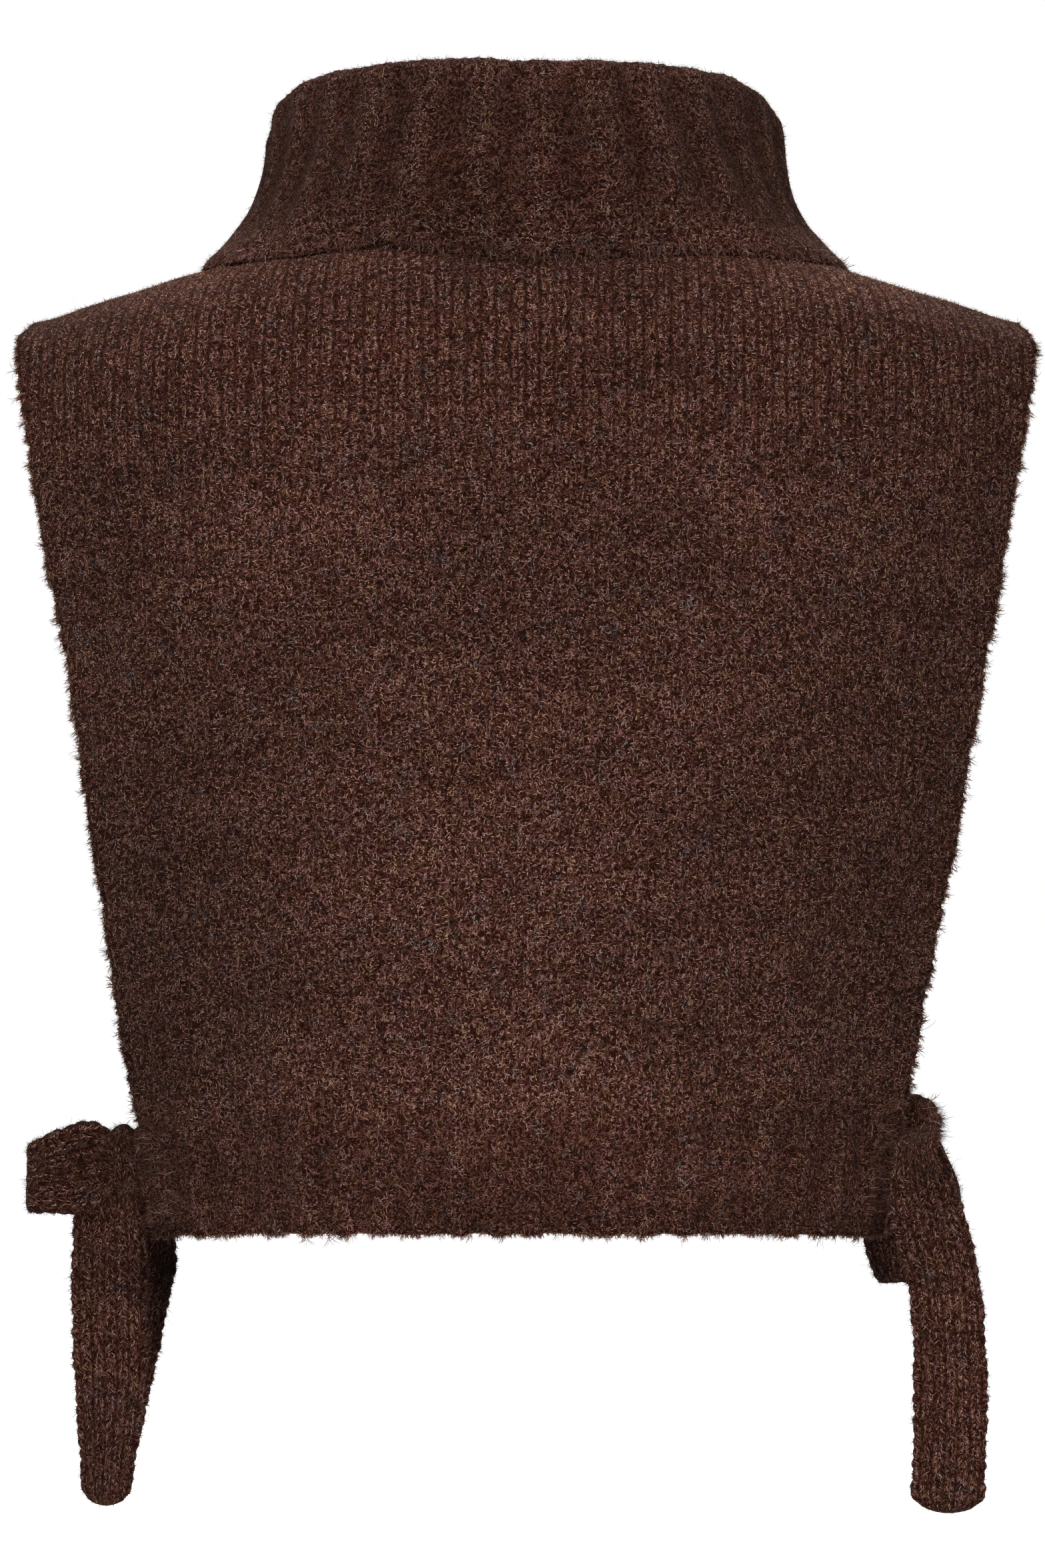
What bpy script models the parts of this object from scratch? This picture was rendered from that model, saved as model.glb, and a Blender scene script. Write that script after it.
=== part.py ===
"""A knitted shoulder poncho with a turned-down roll collar and a bow at each side.

It keeps the hollow form it has when worn. Metres, +Z up. -Y is the wearer's back, +X is on the
right when the back is looked at. The origin is the middle of the neck at the shoulders' height.
"""

from collections import namedtuple
from math import asin, copysign, cos, pi, sin, tanh

import bmesh
import bpy
import numpy as np
from mathutils import Vector

# The knitting
KNIT = 0.0035           # wall of the panels and of each leaf of the collar
SEAM = 0.0003           # gap between two sewn pieces
TIE_THICK = 0.0042

# Panels, as they lie over the shoulders: half widths, heights and slopes
BODY_HALF = 0.2335      # half width where the shoulder turns down
TIP_ROUND = 0.0095      # how far the shoulder's tip is rounded back at the seam
TIP_TOP, TIP_LOW = -0.0245, -0.042
HALF_WIDTHS = (         # z, half width on the way down
    (-0.040, 0.2335), (-0.062, 0.2306), (-0.124, 0.2209), (-0.186, 0.2094),
    (-0.248, 0.2007), (-0.310, 0.1902), (-0.372, 0.1795), (-0.443, 0.1680),
)
LEAN_FROM, LEAN = -0.250, 0.0028    # the lower part hangs a little towards the left
NECK_HALF = 0.088       # half width of the neckline
NECK_SIDE_Z = 0.0108    # shoulder line beside the neck
SHOULDER_SLOPE = 0.272
SHOULDER_FROM = 0.095   # where that slope starts
SIDE_BEND = 2.2         # how late the panel turns towards its side edge
RIB_TOP_Z = -0.378      # top of the ribbed hem
HEM_Z = -0.443
HEM_DROP = 0.0055       # how much lower the hem hangs at its ends

# Ribs of two stitches and two stitches, raised from the wall
HEM_RIB_RISE, COLLAR_RIB_RISE = 0.0013, 0.0018
HEM_RIBS = 20
COLLAR_RIBS = 29
RIB_WAVE = (1.0, 1.0, 0.0, 0.0)     # rise of the four columns of a rib

CAP_ROWS, FALL_ROWS, HEM_ROWS = 6, 8, 2

Depth = namedtuple("Depth", "z centre edge")
Side = namedtuple("Side", "name facing neck_depth cap_centre cap_tip round_centre round_tip depths folds")
Fold = namedtuple("Fold", "x z_top z_low lean width depth")

BACK = Side(
    name="back", facing=-1, neck_depth=0.062,
    cap_centre=0.080, cap_tip=0.055, round_centre=2.6, round_tip=2.6,
    depths=(
        Depth(-0.050, 0.108, 0.058),
        Depth(-0.150, 0.109, 0.052),
        Depth(-0.300, 0.103, 0.044),
        Depth(-0.400, 0.099, 0.034),
        Depth(-0.443, 0.098, 0.030),
    ),
    folds=(
        Fold(-0.150, -0.280, -0.440, 0.16, 0.020, 0.0050),
        Fold(-0.085, -0.300, -0.430, 0.10, 0.022, 0.0022),
        Fold(0.070, -0.230, -0.400, -0.12, 0.026, 0.0024),
        Fold(0.142, -0.270, -0.440, -0.14, 0.019, 0.0045),
        Fold(-0.020, -0.090, -0.230, 0.05, 0.030, 0.0016),
    ),
)
FRONT = Side(
    name="front", facing=1, neck_depth=0.066,
    cap_centre=0.200, cap_tip=0.055, round_centre=1.35, round_tip=2.6,
    depths=(
        Depth(-0.050, 0.118, 0.058),
        Depth(-0.180, 0.123, 0.052),
        Depth(-0.300, 0.113, 0.044),
        Depth(-0.400, 0.104, 0.034),
        Depth(-0.443, 0.102, 0.030),
    ),
    folds=(
        Fold(-0.145, -0.270, -0.440, 0.14, 0.020, 0.0045),
        Fold(0.035, -0.290, -0.430, -0.08, 0.026, 0.0024),
        Fold(0.148, -0.290, -0.440, -0.15, 0.019, 0.0050),
    ),
)

# Collar: the ring along its fold, and how it comes down on the shoulders
FOLD_HALF, FOLD_BACK, FOLD_FRONT = 0.1138, 0.0930, 0.0860
FOLD_Z_BACK, FOLD_Z_SIDE, FOLD_Z_FRONT = 0.0790, 0.0510, 0.0120
SEAM_IN, SEAM_IN_FRONT = 0.0040, 0.0062     # from the neckline's outside to the middle of the collar's wall
FOLD_TILT = 2.2         # how quickly the fold's height changes past the side
FOLD_RADIUS = 0.0045    # from the middle of one leaf to the middle of the fold
EDGE_HALF, EDGE_BACK, EDGE_FRONT = 0.150, 0.094, 0.099
EDGE_LIFT = 0.0004      # the free edge above the panels
EDGE_Z_FRONT, EDGE_RISE = -0.066, 0.097     # in front it hangs free, higher towards the sides
COLLAR_BULGE = 0.0045
INNER_ROWS, TURN_ROWS, OUTER_ROWS = 2, 3, 4

WOOL = (0.060, 0.026, 0.019, 1.0)


def smooth_step(share):
    share = min(1.0, max(0.0, share))
    return share * share * (3 - 2 * share)


def column_centre_z(x):
    """Height of the shoulder line above a point x from the middle; it goes on level across the neck."""
    x = abs(x)
    if x > SHOULDER_FROM:
        return NECK_SIDE_Z - SHOULDER_SLOPE * (x - SHOULDER_FROM)
    rise = SHOULDER_SLOPE / (2 * SHOULDER_FROM)
    return NECK_SIDE_Z + rise * (SHOULDER_FROM**2 - x * x)


def half_width(z):
    """Half width of a panel, without the rounding of the shoulder's tip."""
    return np.interp(-z, [-row[0] for row in HALF_WIDTHS], [row[1] for row in HALF_WIDTHS])


def across(u, z):
    """x of the column u, from -1 to 1, at a height z."""
    turned = min(1.0, max(0.0, (z - TIP_LOW) / (TIP_TOP - TIP_LOW)))
    tip = copysign(TIP_ROUND * turned**2 * abs(u) ** 8, u)
    return u * half_width(z) - tip - LEAN * smooth_step((LEAN_FROM - z) / 0.12)


def depth_at(side, u, z):
    """How far the panel stands from the shoulder line once it has turned down, without folds."""
    heights = [-row.z for row in side.depths]
    centre = np.interp(-z, heights, [row.centre for row in side.depths])
    edge = np.interp(-z, heights, [row.edge for row in side.depths])
    return edge + (centre - edge) * (1 - abs(u) ** SIDE_BEND)


def fold_relief(side, x, z):
    """Soft troughs in the hanging cloth, negative into it."""
    relief = 0.0
    for fold in side.folds:
        along = (fold.z_top - z) / (fold.z_top - fold.z_low)
        if not 0 < along < 1.25:
            continue
        middle = fold.x - fold.lean * (fold.z_top - z) * np.sign(fold.x)
        strength = smooth_step(2.2 * along) * smooth_step(5 * (1.25 - along))
        relief -= fold.depth * strength * np.exp(-(((x - middle) / fold.width) ** 2))
    return relief


def cap(side, u):
    """(drop, roundness) of the column u where it turns over the shoulder."""
    towards_neck = (1 - u * u) ** 3
    drop = side.cap_tip + (side.cap_centre - side.cap_tip) * towards_neck
    roundness = side.round_tip + (side.round_centre - side.round_tip) * towards_neck
    return drop, roundness


def point_on(side, u, turn=None, z=None):
    """A point of the panel's outside, by z or by its turn: 0 on the shoulder, pi / 2 where it hangs."""
    top = column_centre_z(u * BODY_HALF)
    drop, roundness = cap(side, u)
    if z is None:
        z = top - drop + drop * max(0.0, cos(turn)) ** (2 / roundness)
        out = sin(turn) ** (2 / roundness)
    else:
        lift = max(0.0, (z - top + drop) / drop)
        out = (1 - min(1.0, lift) ** roundness) ** (1 / roundness)
    x = across(u, z)
    y = side.facing * out * (depth_at(side, u, z) + fold_relief(side, x, z) * (1 - u**8))
    return Vector((x, y, z))


def first_turn(side, u):
    """The turn at which the column u starts, at the neckline or at the shoulder seam."""
    x = u * BODY_HALF
    _, roundness = cap(side, u)
    inside = 1 - (x / NECK_HALF) ** 2
    start = side.neck_depth * inside**0.5 if inside > 0 else 0.0
    start = max(start, 0.7 * SEAM)
    return asin((start / depth_at(side, u, 0.0)) ** (roundness / 2))


def column_at(c, share):
    """u of the column c: set by the neckline at the top (share 0) and by the hem's ribs below (share 1)."""
    even = c / HEM_RIBS - 1
    neck = NECK_HALF / BODY_HALF
    half = HEM_RIBS // 2
    steps = abs(c - HEM_RIBS)
    drawn = neck * sin(pi / 2 * steps / half) if steps <= half else neck + (1 - neck) * (steps - half) / half
    return even + (copysign(drawn, even) - even) * (1 - share)


def grid_normals(points):
    """Unit normals of a grid of points[row][column], from the differences along and across it."""
    across_grid = np.gradient(points, axis=1)
    along_grid = np.gradient(points, axis=0)
    normals = np.cross(across_grid, along_grid)
    return normals / np.linalg.norm(normals, axis=2, keepdims=True)


def skin_faces(upper, lower, ring):
    """Faces between two rows of corners; the lower row may have twice the spans of the upper one."""
    last = len(upper) if ring else len(upper) - 1
    for c in range(last):
        d = (c + 1) % len(upper)
        if len(lower) == len(upper):
            yield upper[c], upper[d], lower[d], lower[c]
        else:
            yield upper[c], upper[d], lower[2 * c + 2], lower[2 * c + 1], lower[2 * c]


def wall(name, outside, inside, ring=False):
    """A closed wall between two skins, each a list of rows of points; ring joins each row's ends."""
    mesh = bmesh.new()
    outer, inner = ([[mesh.verts.new(p) for p in row] for row in skin] for skin in (outside, inside))
    for skin in (outer, inner):
        for upper, lower in zip(skin, skin[1:]):
            for face in skin_faces(upper, lower, ring):
                mesh.faces.new(face)
    for rim_a, rim_b in ((outer[0], inner[0]), (outer[-1], inner[-1])):
        for face in skin_faces(rim_a, rim_b, ring):
            mesh.faces.new(face)
    if not ring:
        for end in (0, -1):
            for r in range(len(outer) - 1):
                mesh.faces.new((outer[r][end], outer[r + 1][end], inner[r + 1][end], inner[r][end]))
    return finished(name, mesh)


def finished(name, mesh):
    """Turns a bmesh into an object of the scene, with its faces pointing out and its own knitted wool."""
    bmesh.ops.recalc_face_normals(mesh, faces=mesh.faces)
    data = bpy.data.meshes.new(name)
    mesh.to_mesh(data)
    mesh.free()
    data.shade_smooth()
    data.set_sharp_from_angle(angle=0.8)
    data.materials.append(knitted(f"{name}_knit"))
    placed = bpy.data.objects.new(name, data)
    bpy.context.scene.collection.objects.link(placed)
    return placed


def knitted(name):
    """A matt, brushed brown wool."""
    material = bpy.data.materials.new(name)
    material.use_nodes = True
    shader = material.node_tree.nodes["Principled BSDF"]
    shader.inputs["Base Color"].default_value = WOOL
    shader.inputs["Roughness"].default_value = 0.95
    shader.inputs["Metallic"].default_value = 0.0
    shader.inputs["Sheen Weight"].default_value = 0.4
    return material


def hang(u):
    """How much lower the column u ends than the middle of the hem."""
    return HEM_DROP * abs(u) ** SIDE_BEND


def upper_point(side, c, r):
    """A point of the panel above the ribs: rows turn over the shoulder first, then fall."""
    u = column_at(c, r / (CAP_ROWS + FALL_ROWS))
    if r <= CAP_ROWS:
        start = first_turn(side, u)
        return point_on(side, u, turn=start + (pi / 2 - start) * r / CAP_ROWS)
    top = column_centre_z(u * BODY_HALF) - cap(side, u)[0]
    low = RIB_TOP_Z - hang(u)
    return point_on(side, u, z=top + (low - top) * (r - CAP_ROWS) / FALL_ROWS)


def make_panel(side):
    """Front or back in one: from the neckline and the shoulder seam down to the ribbed hem.

    The seam's rim and the hem's stand square. The ribs are raised from the outside only.
    """
    columns, rows = 2 * HEM_RIBS + 1, CAP_ROWS + FALL_ROWS + 1
    body = np.array([[upper_point(side, c, r) for c in range(columns)] for r in range(rows)])
    normals = grid_normals(body) * side.facing
    normals[0, np.abs(body[0, :, 0]) >= NECK_HALF * 0.999, 1] = 0.0
    normals /= np.linalg.norm(normals, axis=2, keepdims=True)

    fine = 2 * columns - 1
    us = np.linspace(-1, 1, fine)
    drop = np.linspace(0, HEM_Z - RIB_TOP_Z, HEM_ROWS + 2)[1:]
    drop[0] = -0.004
    rib = np.array([[point_on(side, u, z=RIB_TOP_Z - hang(u) + d) for u in us] for d in drop])
    rib_normals = grid_normals(rib) * side.facing
    rib_normals[-1, :, 2] = 0.0
    rib_normals /= np.linalg.norm(rib_normals, axis=2, keepdims=True)
    rise = np.array([RIB_WAVE[(c + 3) % 4] for c in range(fine)])
    grown = np.array([0.3] + [1.0] * HEM_ROWS)
    raised = rib + rib_normals * (HEM_RIB_RISE * grown[:, None] * rise)[:, :, None]

    outside = list(body) + list(raised)
    inside = list(body - KNIT * normals) + list(rib - KNIT * rib_normals)
    wall(f"{side.name}_panel", outside, inside)


def surface_under(x, y):
    """(point, normal) of the panels' outside below the place x, y near the neck."""
    side = BACK if y < 0 else FRONT
    u = x / BODY_HALF
    top = column_centre_z(x)
    drop, roundness = cap(side, u)
    z = 0.0
    for _ in range(6):
        out = min(0.999, abs(y) / depth_at(side, u, z))
        z = top - drop + drop * (1 - out**roundness) ** (1 / roundness)
    return z


def above_panels(x, y, lift):
    """The point at a distance lift from the panels' outside, off the place x, y."""
    step = 0.001
    slope_x = (surface_under(x + step, y) - surface_under(x - step, y)) / (2 * step)
    slope_y = (surface_under(x, y + step) - surface_under(x, y - step)) / (2 * step)
    normal = Vector((-slope_x, -slope_y, 1)).normalized()
    return Vector((x, y, surface_under(x, y))) + lift * normal


def ring_point(angle, half, back, front):
    """x, y of an oval round the neck; angle 0 is at the back."""
    return half * sin(angle), -(back if cos(angle) > 0 else front) * cos(angle)


def fold_height(angle):
    """Height of the collar's fold, high and level at the back, lower in front."""
    lean = tanh(FOLD_TILT * cos(angle)) / tanh(FOLD_TILT)
    end = FOLD_Z_BACK if lean > 0 else FOLD_Z_FRONT
    return FOLD_Z_SIDE + (end - FOLD_Z_SIDE) * abs(lean)


def bezier(points, share):
    a, b, c, d = points
    s = 1 - share
    return s**3 * a + 3 * s * s * share * b + 3 * s * share * share * c + share**3 * d


def collar_section(angle):
    """The middle of the collar's cloth at one angle, from the neckline over the fold to the free edge."""
    outward = Vector((sin(angle), -cos(angle), 0.0))
    up = Vector((0, 0, 1))
    back, front = BACK.neck_depth - SEAM_IN, FRONT.neck_depth - SEAM_IN_FRONT
    x, y = ring_point(angle, NECK_HALF - SEAM_IN, back, front)
    seam = Vector((x, y, surface_under(x, y) - 0.001))
    x, y = ring_point(angle, FOLD_HALF, FOLD_BACK, FOLD_FRONT)
    fold = Vector((x, y, fold_height(angle)))
    x, y = ring_point(angle, EDGE_HALF, EDGE_BACK, EDGE_FRONT)
    edge = above_panels(x, y, EDGE_LIFT + KNIT / 2)
    free = smooth_step((-cos(angle) - 0.3) / 0.7)
    edge.z += free * (EDGE_Z_FRONT + EDGE_RISE * sin(angle) ** 2 - edge.z)

    inner_top = fold - FOLD_RADIUS * outward
    outer_top = fold + FOLD_RADIUS * outward
    rise = (inner_top - seam).length
    inner = (seam, seam + 0.35 * rise * up, inner_top - 0.35 * rise * up, inner_top)
    fall = (outer_top - edge).length
    to_side = sin(angle) ** 2
    in_front = max(0.0, -cos(angle))
    flare = (outward * (1.6 * to_side**2 + 0.3 * in_front) - up).normalized()
    bulge = COLLAR_BULGE * (1 - to_side) * outward
    outer = (outer_top, outer_top - 0.42 * fall * up + bulge, edge - 0.45 * fall * flare + bulge, edge)

    section = [bezier(inner, i / INNER_ROWS) for i in range(INNER_ROWS)]
    for i in range(TURN_ROWS + 1):
        turn = pi * i / TURN_ROWS
        section.append(fold + FOLD_RADIUS * (-cos(turn) * outward + sin(turn) * up))
    section += [bezier(outer, i / OUTER_ROWS) for i in range(1, OUTER_ROWS + 1)]
    return section


def make_collar():
    """The roll collar: one ribbed tube turned down over itself, its free edge on the shoulders."""
    steps = 4 * COLLAR_RIBS
    middle = np.array([collar_section(2 * pi * (c + 0.5) / steps) for c in range(steps)]).transpose(1, 0, 2)
    wrapped = np.concatenate([middle[:, -1:], middle, middle[:, :1]], axis=1)
    normals = grid_normals(wrapped)[:, 1:-1]
    if normals[-1, 0, 1] > 0:
        normals = -normals
    rows = middle.shape[0]
    rise = np.array([RIB_WAVE[c % 4] for c in range(steps)])
    taper = np.minimum(1.0, np.minimum(np.arange(rows), rows - 1 - np.arange(rows)) / 1.5)
    raised = (KNIT / 2 + COLLAR_RIB_RISE * taper[:, None] * rise)[:, :, None]
    wall("collar", middle + raised * normals, middle - KNIT / 2 * normals, ring=True)


def route_through(stops, shares):
    """A smooth curve through the stops, at the given shares of it: (places, widths)."""
    fixed = np.array(stops, float)
    fixed = np.concatenate([[2 * fixed[0] - fixed[1]], fixed, [2 * fixed[-1] - fixed[-2]]])
    spans = len(fixed) - 3
    found = []
    for share in shares:
        k = min(spans - 1, int(spans * share))
        s = spans * share - k
        a, b, c, d = fixed[k : k + 4]
        curve = (2 * a - 5 * b + 4 * c - d) * s**2 + (3 * b - a - 3 * c + d) * s**3
        found.append(0.5 * (2 * b + (c - a) * s + curve))
    found = np.array(found)
    return found[:, :3], found[:, 3]


def lengths_along(places):
    return np.concatenate([[0], np.cumsum(np.linalg.norm(np.diff(places, axis=0), axis=1))])


def make_band(name, stops, width_way, steps=14, tip=0.0, sides=8):
    """A flat knitted band along a route of (x, y, z, width).

    width_way holds its width's first and last directions. tip rounds the last end over that length.
    """
    shares = np.linspace(0, 1, steps + 1)
    if tip:
        length = lengths_along(route_through(stops, shares)[0])[-1]
        rounded = 1 - tip / length * np.array([0.55, 0.2, 0])
        shares = np.concatenate([np.linspace(0, 1 - tip / length, steps - 1), rounded])
    places, widths = route_through(stops, shares)
    ways = np.gradient(places, axis=0)
    lengths = lengths_along(places)
    mesh = bmesh.new()
    rings = []
    for i, (place, way) in enumerate(zip(places, ways)):
        wide = Vector(width_way[0]).lerp(Vector(width_way[1]), lengths[i] / lengths[-1])
        along = Vector(way).normalized()
        thick = along.cross(wide).normalized()
        wide = thick.cross(along)
        left = lengths[-1] - lengths[i]
        narrow = (1 - (1 - left / tip) ** 2) ** 0.5 if left < tip else 1.0
        half = float(max(0.4, narrow) * widths[i] / 2)
        ring = []
        for k in range(sides):
            angle = 2 * pi * (k + 0.5) / sides
            w = half * copysign(abs(cos(angle)) ** 0.35, cos(angle))
            t = TIE_THICK / 2 * copysign(abs(sin(angle)) ** 0.6, sin(angle))
            ring.append(mesh.verts.new(Vector(place) + w * wide + t * thick))
        rings.append(ring)
    for a, b in zip(rings, rings[1:]):
        for k in range(sides):
            m = (k + 1) % sides
            mesh.faces.new((a[k], a[m], b[m], b[k]))
    mesh.faces.new(rings[0])
    mesh.faces.new(rings[-1])
    return finished(name, mesh)


def make_knot(name, centre, sizes, grow=0.0):
    """A knot drawn tight: a squashed ball with a crease round it where the band crosses itself."""
    mesh = bmesh.new()
    bmesh.ops.create_uvsphere(mesh, u_segments=16, v_segments=10, radius=1.0)
    for v in mesh.verts:
        crease = 1 - 0.10 * np.exp(-(((v.co.z - 0.35 * v.co.x) / 0.22) ** 2))
        grown = [(s + grow) * (1.0 if grow else crease) for s in sizes]
        v.co = Vector(centre) + Vector([grown[i] * v.co[i] for i in range(3)])
    return finished(name, mesh)


def cut_back(piece, bow):
    """Stops a band just clear of the knot it goes into."""
    cutter = make_knot(f"{piece.name}_cutter", bow.knot, bow.size, grow=SEAM)
    cutter.hide_render = True
    cutter.display_type = "WIRE"
    cut = piece.modifiers.new("at_the_knot", "BOOLEAN")
    cut.operation = "DIFFERENCE"
    cut.object = cutter


Bow = namedtuple("Bow", "side knot size root_ends bands")
Band = namedtuple("Band", "name stops width_way steps tip")
UP, SIDEWAYS, FORWARD = (0, 0, 1), (1, 0, 0), (0, 1, 0)

LEFT_BOW = Bow("left", (-0.185, -0.020, -0.417), (0.0115, 0.0130, 0.0150), {
    "back": (-0.182, -0.024, -0.417), "front": (-0.1785, -0.012, -0.415),
}, (
    Band("outer_loop", (
        (-0.186, -0.0275, -0.416, 0.021),
        (-0.198, -0.0365, -0.416, 0.040),
        (-0.213, -0.0405, -0.419, 0.037),
        (-0.225, -0.0375, -0.4215, 0.0315),
        (-0.2278, -0.0300, -0.4222, 0.0295),
        (-0.225, -0.0225, -0.4215, 0.031),
        (-0.212, -0.0185, -0.4190, 0.031),
        (-0.199, -0.0185, -0.417, 0.025),
        (-0.187, -0.0195, -0.417, 0.016),
    ), (UP, UP), 20, 0.0),
    Band("forward_loop", (
        (-0.190, -0.014, -0.414, 0.012),
        (-0.1975, 0.003, -0.416, 0.024),
        (-0.2015, 0.022, -0.421, 0.032),
        (-0.1990, 0.038, -0.427, 0.033),
        (-0.1940, 0.0435, -0.429, 0.033),
        (-0.1895, 0.038, -0.428, 0.033),
        (-0.1890, 0.020, -0.423, 0.030),
        (-0.1885, 0.003, -0.418, 0.022),
        (-0.1840, -0.014, -0.415, 0.012),
    ), (UP, UP), 20, 0.0),
    Band("near_tail", (
        (-0.1880, -0.024, -0.424, 0.014),
        (-0.1918, -0.0270, -0.440, 0.030),
        (-0.1915, -0.029, -0.456, 0.033),
        (-0.1915, -0.028, -0.485, 0.0335),
        (-0.1915, -0.026, -0.520, 0.031),
        (-0.1925, -0.024, -0.550, 0.025),
        (-0.1940, -0.023, -0.5735, 0.022),
    ), (SIDEWAYS, SIDEWAYS), 13, 0.011),
    Band("far_tail", (
        (-0.183, -0.013, -0.424, 0.014),
        (-0.179, -0.006, -0.440, 0.024),
        (-0.178, 0.001, -0.457, 0.031),
        (-0.183, 0.003, -0.488, 0.030),
        (-0.1895, 0.001, -0.528, 0.026),
        (-0.1915, 0.000, -0.552, 0.022),
    ), (SIDEWAYS, SIDEWAYS), 12, 0.014),
))
RIGHT_BOW = Bow("right", (0.181, -0.013, -0.398), (0.0120, 0.0130, 0.0135), {
    "back": (0.180, -0.018, -0.405), "front": (0.1740, -0.004, -0.392),
}, (
    Band("hanging_loop", (
        (0.1790, -0.0105, -0.404, 0.013),
        (0.1765, -0.0070, -0.426, 0.025),
        (0.1740, -0.004, -0.446, 0.032),
        (0.1745, 0.001, -0.464, 0.031),
        (0.1760, 0.007, -0.4705, 0.030),
        (0.1775, 0.012, -0.463, 0.030),
        (0.1780, 0.0115, -0.446, 0.029),
        (0.1790, 0.0055, -0.427, 0.020),
        (0.1790, -0.0040, -0.404, 0.008),
    ), (SIDEWAYS, SIDEWAYS), 20, 0.0),
    Band("forward_loop", (
        (0.1870, -0.009, -0.393, 0.009),
        (0.1910, 0.004, -0.395, 0.017),
        (0.1915, 0.020, -0.4065, 0.026),
        (0.1905, 0.034, -0.4155, 0.029),
        (0.1870, 0.0385, -0.4185, 0.029),
        (0.1830, 0.034, -0.4165, 0.028),
        (0.1822, 0.019, -0.4085, 0.024),
        (0.1825, 0.005, -0.397, 0.015),
        (0.1800, -0.009, -0.393, 0.009),
    ), (UP, UP), 20, 0.0),
    Band("near_tail", (
        (0.184, -0.019, -0.399, 0.012),
        (0.1860, -0.034, -0.401, 0.016),
        (0.1830, -0.046, -0.410, 0.022),
        (0.1815, -0.049, -0.427, 0.030),
        (0.1865, -0.045, -0.447, 0.0325),
        (0.1920, -0.039, -0.468, 0.0325),
        (0.1950, -0.034, -0.495, 0.0325),
        (0.1958, -0.030, -0.530, 0.0330),
        (0.1945, -0.027, -0.5765, 0.0330),
    ), (SIDEWAYS, SIDEWAYS), 17, 0.007),
    Band("far_tail", (
        (0.187, -0.014, -0.401, 0.010),
        (0.1975, -0.011, -0.426, 0.018),
        (0.2000, -0.003, -0.448, 0.027),
        (0.2000, 0.003, -0.482, 0.030),
        (0.1990, 0.004, -0.520, 0.029),
        (0.1980, 0.004, -0.556, 0.027),
    ), (FORWARD, FORWARD), 12, 0.010),
))
SEWN_FROM, SEWN_TO = -0.3985, -0.4345     # where a tie is sewn to the hem's side edge


def make_root(name, side, u, knot, height_out):
    """The stretch of a tie from the hem's side edge to the knot, narrowed to height_out where it enters."""
    height = SEWN_FROM - SEWN_TO
    middle_z = (SEWN_FROM + SEWN_TO) / 2
    selvedge = (point_on(side, u, z=SEWN_FROM) - point_on(side, u, z=SEWN_TO)).normalized()
    edge = point_on(side, u, z=middle_z)
    way = edge - point_on(side, u * (1 - 1 / (2 * HEM_RIBS)), z=middle_z)
    way = (way - way.dot(selvedge) * selvedge).normalized()
    inward = way.cross(selvedge) * (u * side.facing)
    start = edge + SEAM * way + KNIT / 2 * inward
    off = start + 0.004 * way
    knot = Vector(knot)
    reach = (knot - off).length
    curve = (off, off + 0.3 * reach * way, knot.lerp(off, 0.35), knot)
    route = [start, start.lerp(off, 0.6)] + [bezier(curve, i / 5) for i in range(6)]
    stops = [
        (*place, height + (height_out - height) * smooth_step(i / (len(route) - 2)))
        for i, place in enumerate(route)
    ]
    return make_band(name, stops, (selvedge, UP), steps=9)


def make_bow(bow):
    """A tied bow: the knot, its loops and tails, and the two stretches that join it to the hems."""
    u = -1 if bow.side == "left" else 1
    pieces = [
        make_root(f"tie_{bow.side}_{side.name}_root", side, u, bow.root_ends[side.name], 0.012)
        for side in (BACK, FRONT)
    ]
    for band in bow.bands:
        name = f"tie_{bow.side}_{band.name}"
        pieces.append(make_band(name, band.stops, band.width_way, band.steps, band.tip))
    for piece in pieces:
        cut_back(piece, bow)
    make_knot(f"tie_{bow.side}_knot", bow.knot, bow.size)


def main():
    for old in list(bpy.data.objects):
        bpy.data.objects.remove(old)
    for side in (BACK, FRONT):
        make_panel(side)
    make_collar()
    for bow in (LEFT_BOW, RIGHT_BOW):
        make_bow(bow)


main()
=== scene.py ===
"""A knitted shoulder poncho in brushed brown wool.

It has two panels, a turned-down ribbed collar and a bow at each side.

Metres, +Z up. -Y is the wearer's back and +X is on the right when the back is looked at.
"""

from __future__ import annotations

import logging
import math
from dataclasses import dataclass
from enum import Enum
from typing import Any

import bmesh
import bpy
import numpy as np
from mathutils import Matrix, Vector


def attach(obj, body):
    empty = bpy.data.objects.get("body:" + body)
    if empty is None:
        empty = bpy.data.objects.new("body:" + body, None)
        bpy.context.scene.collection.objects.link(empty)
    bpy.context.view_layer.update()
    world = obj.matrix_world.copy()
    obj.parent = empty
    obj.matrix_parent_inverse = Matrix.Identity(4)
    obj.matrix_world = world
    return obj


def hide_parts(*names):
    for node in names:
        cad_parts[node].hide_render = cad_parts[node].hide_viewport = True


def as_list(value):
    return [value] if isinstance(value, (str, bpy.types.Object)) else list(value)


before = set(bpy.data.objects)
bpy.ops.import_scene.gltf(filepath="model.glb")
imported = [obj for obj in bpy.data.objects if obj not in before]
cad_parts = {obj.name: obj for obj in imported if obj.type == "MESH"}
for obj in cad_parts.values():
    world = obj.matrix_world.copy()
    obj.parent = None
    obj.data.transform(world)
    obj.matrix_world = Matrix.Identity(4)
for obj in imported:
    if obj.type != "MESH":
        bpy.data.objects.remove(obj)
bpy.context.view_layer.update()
LOG = logging.getLogger("poncho")

Array = np.ndarray
Material, Piece = bpy.types.Material, bpy.types.Object
Node, Socket, Tree = bpy.types.Node, bpy.types.NodeSocket, bpy.types.NodeTree
Groups = dict[str, Tree]
Point = tuple[float, float, float]

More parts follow.
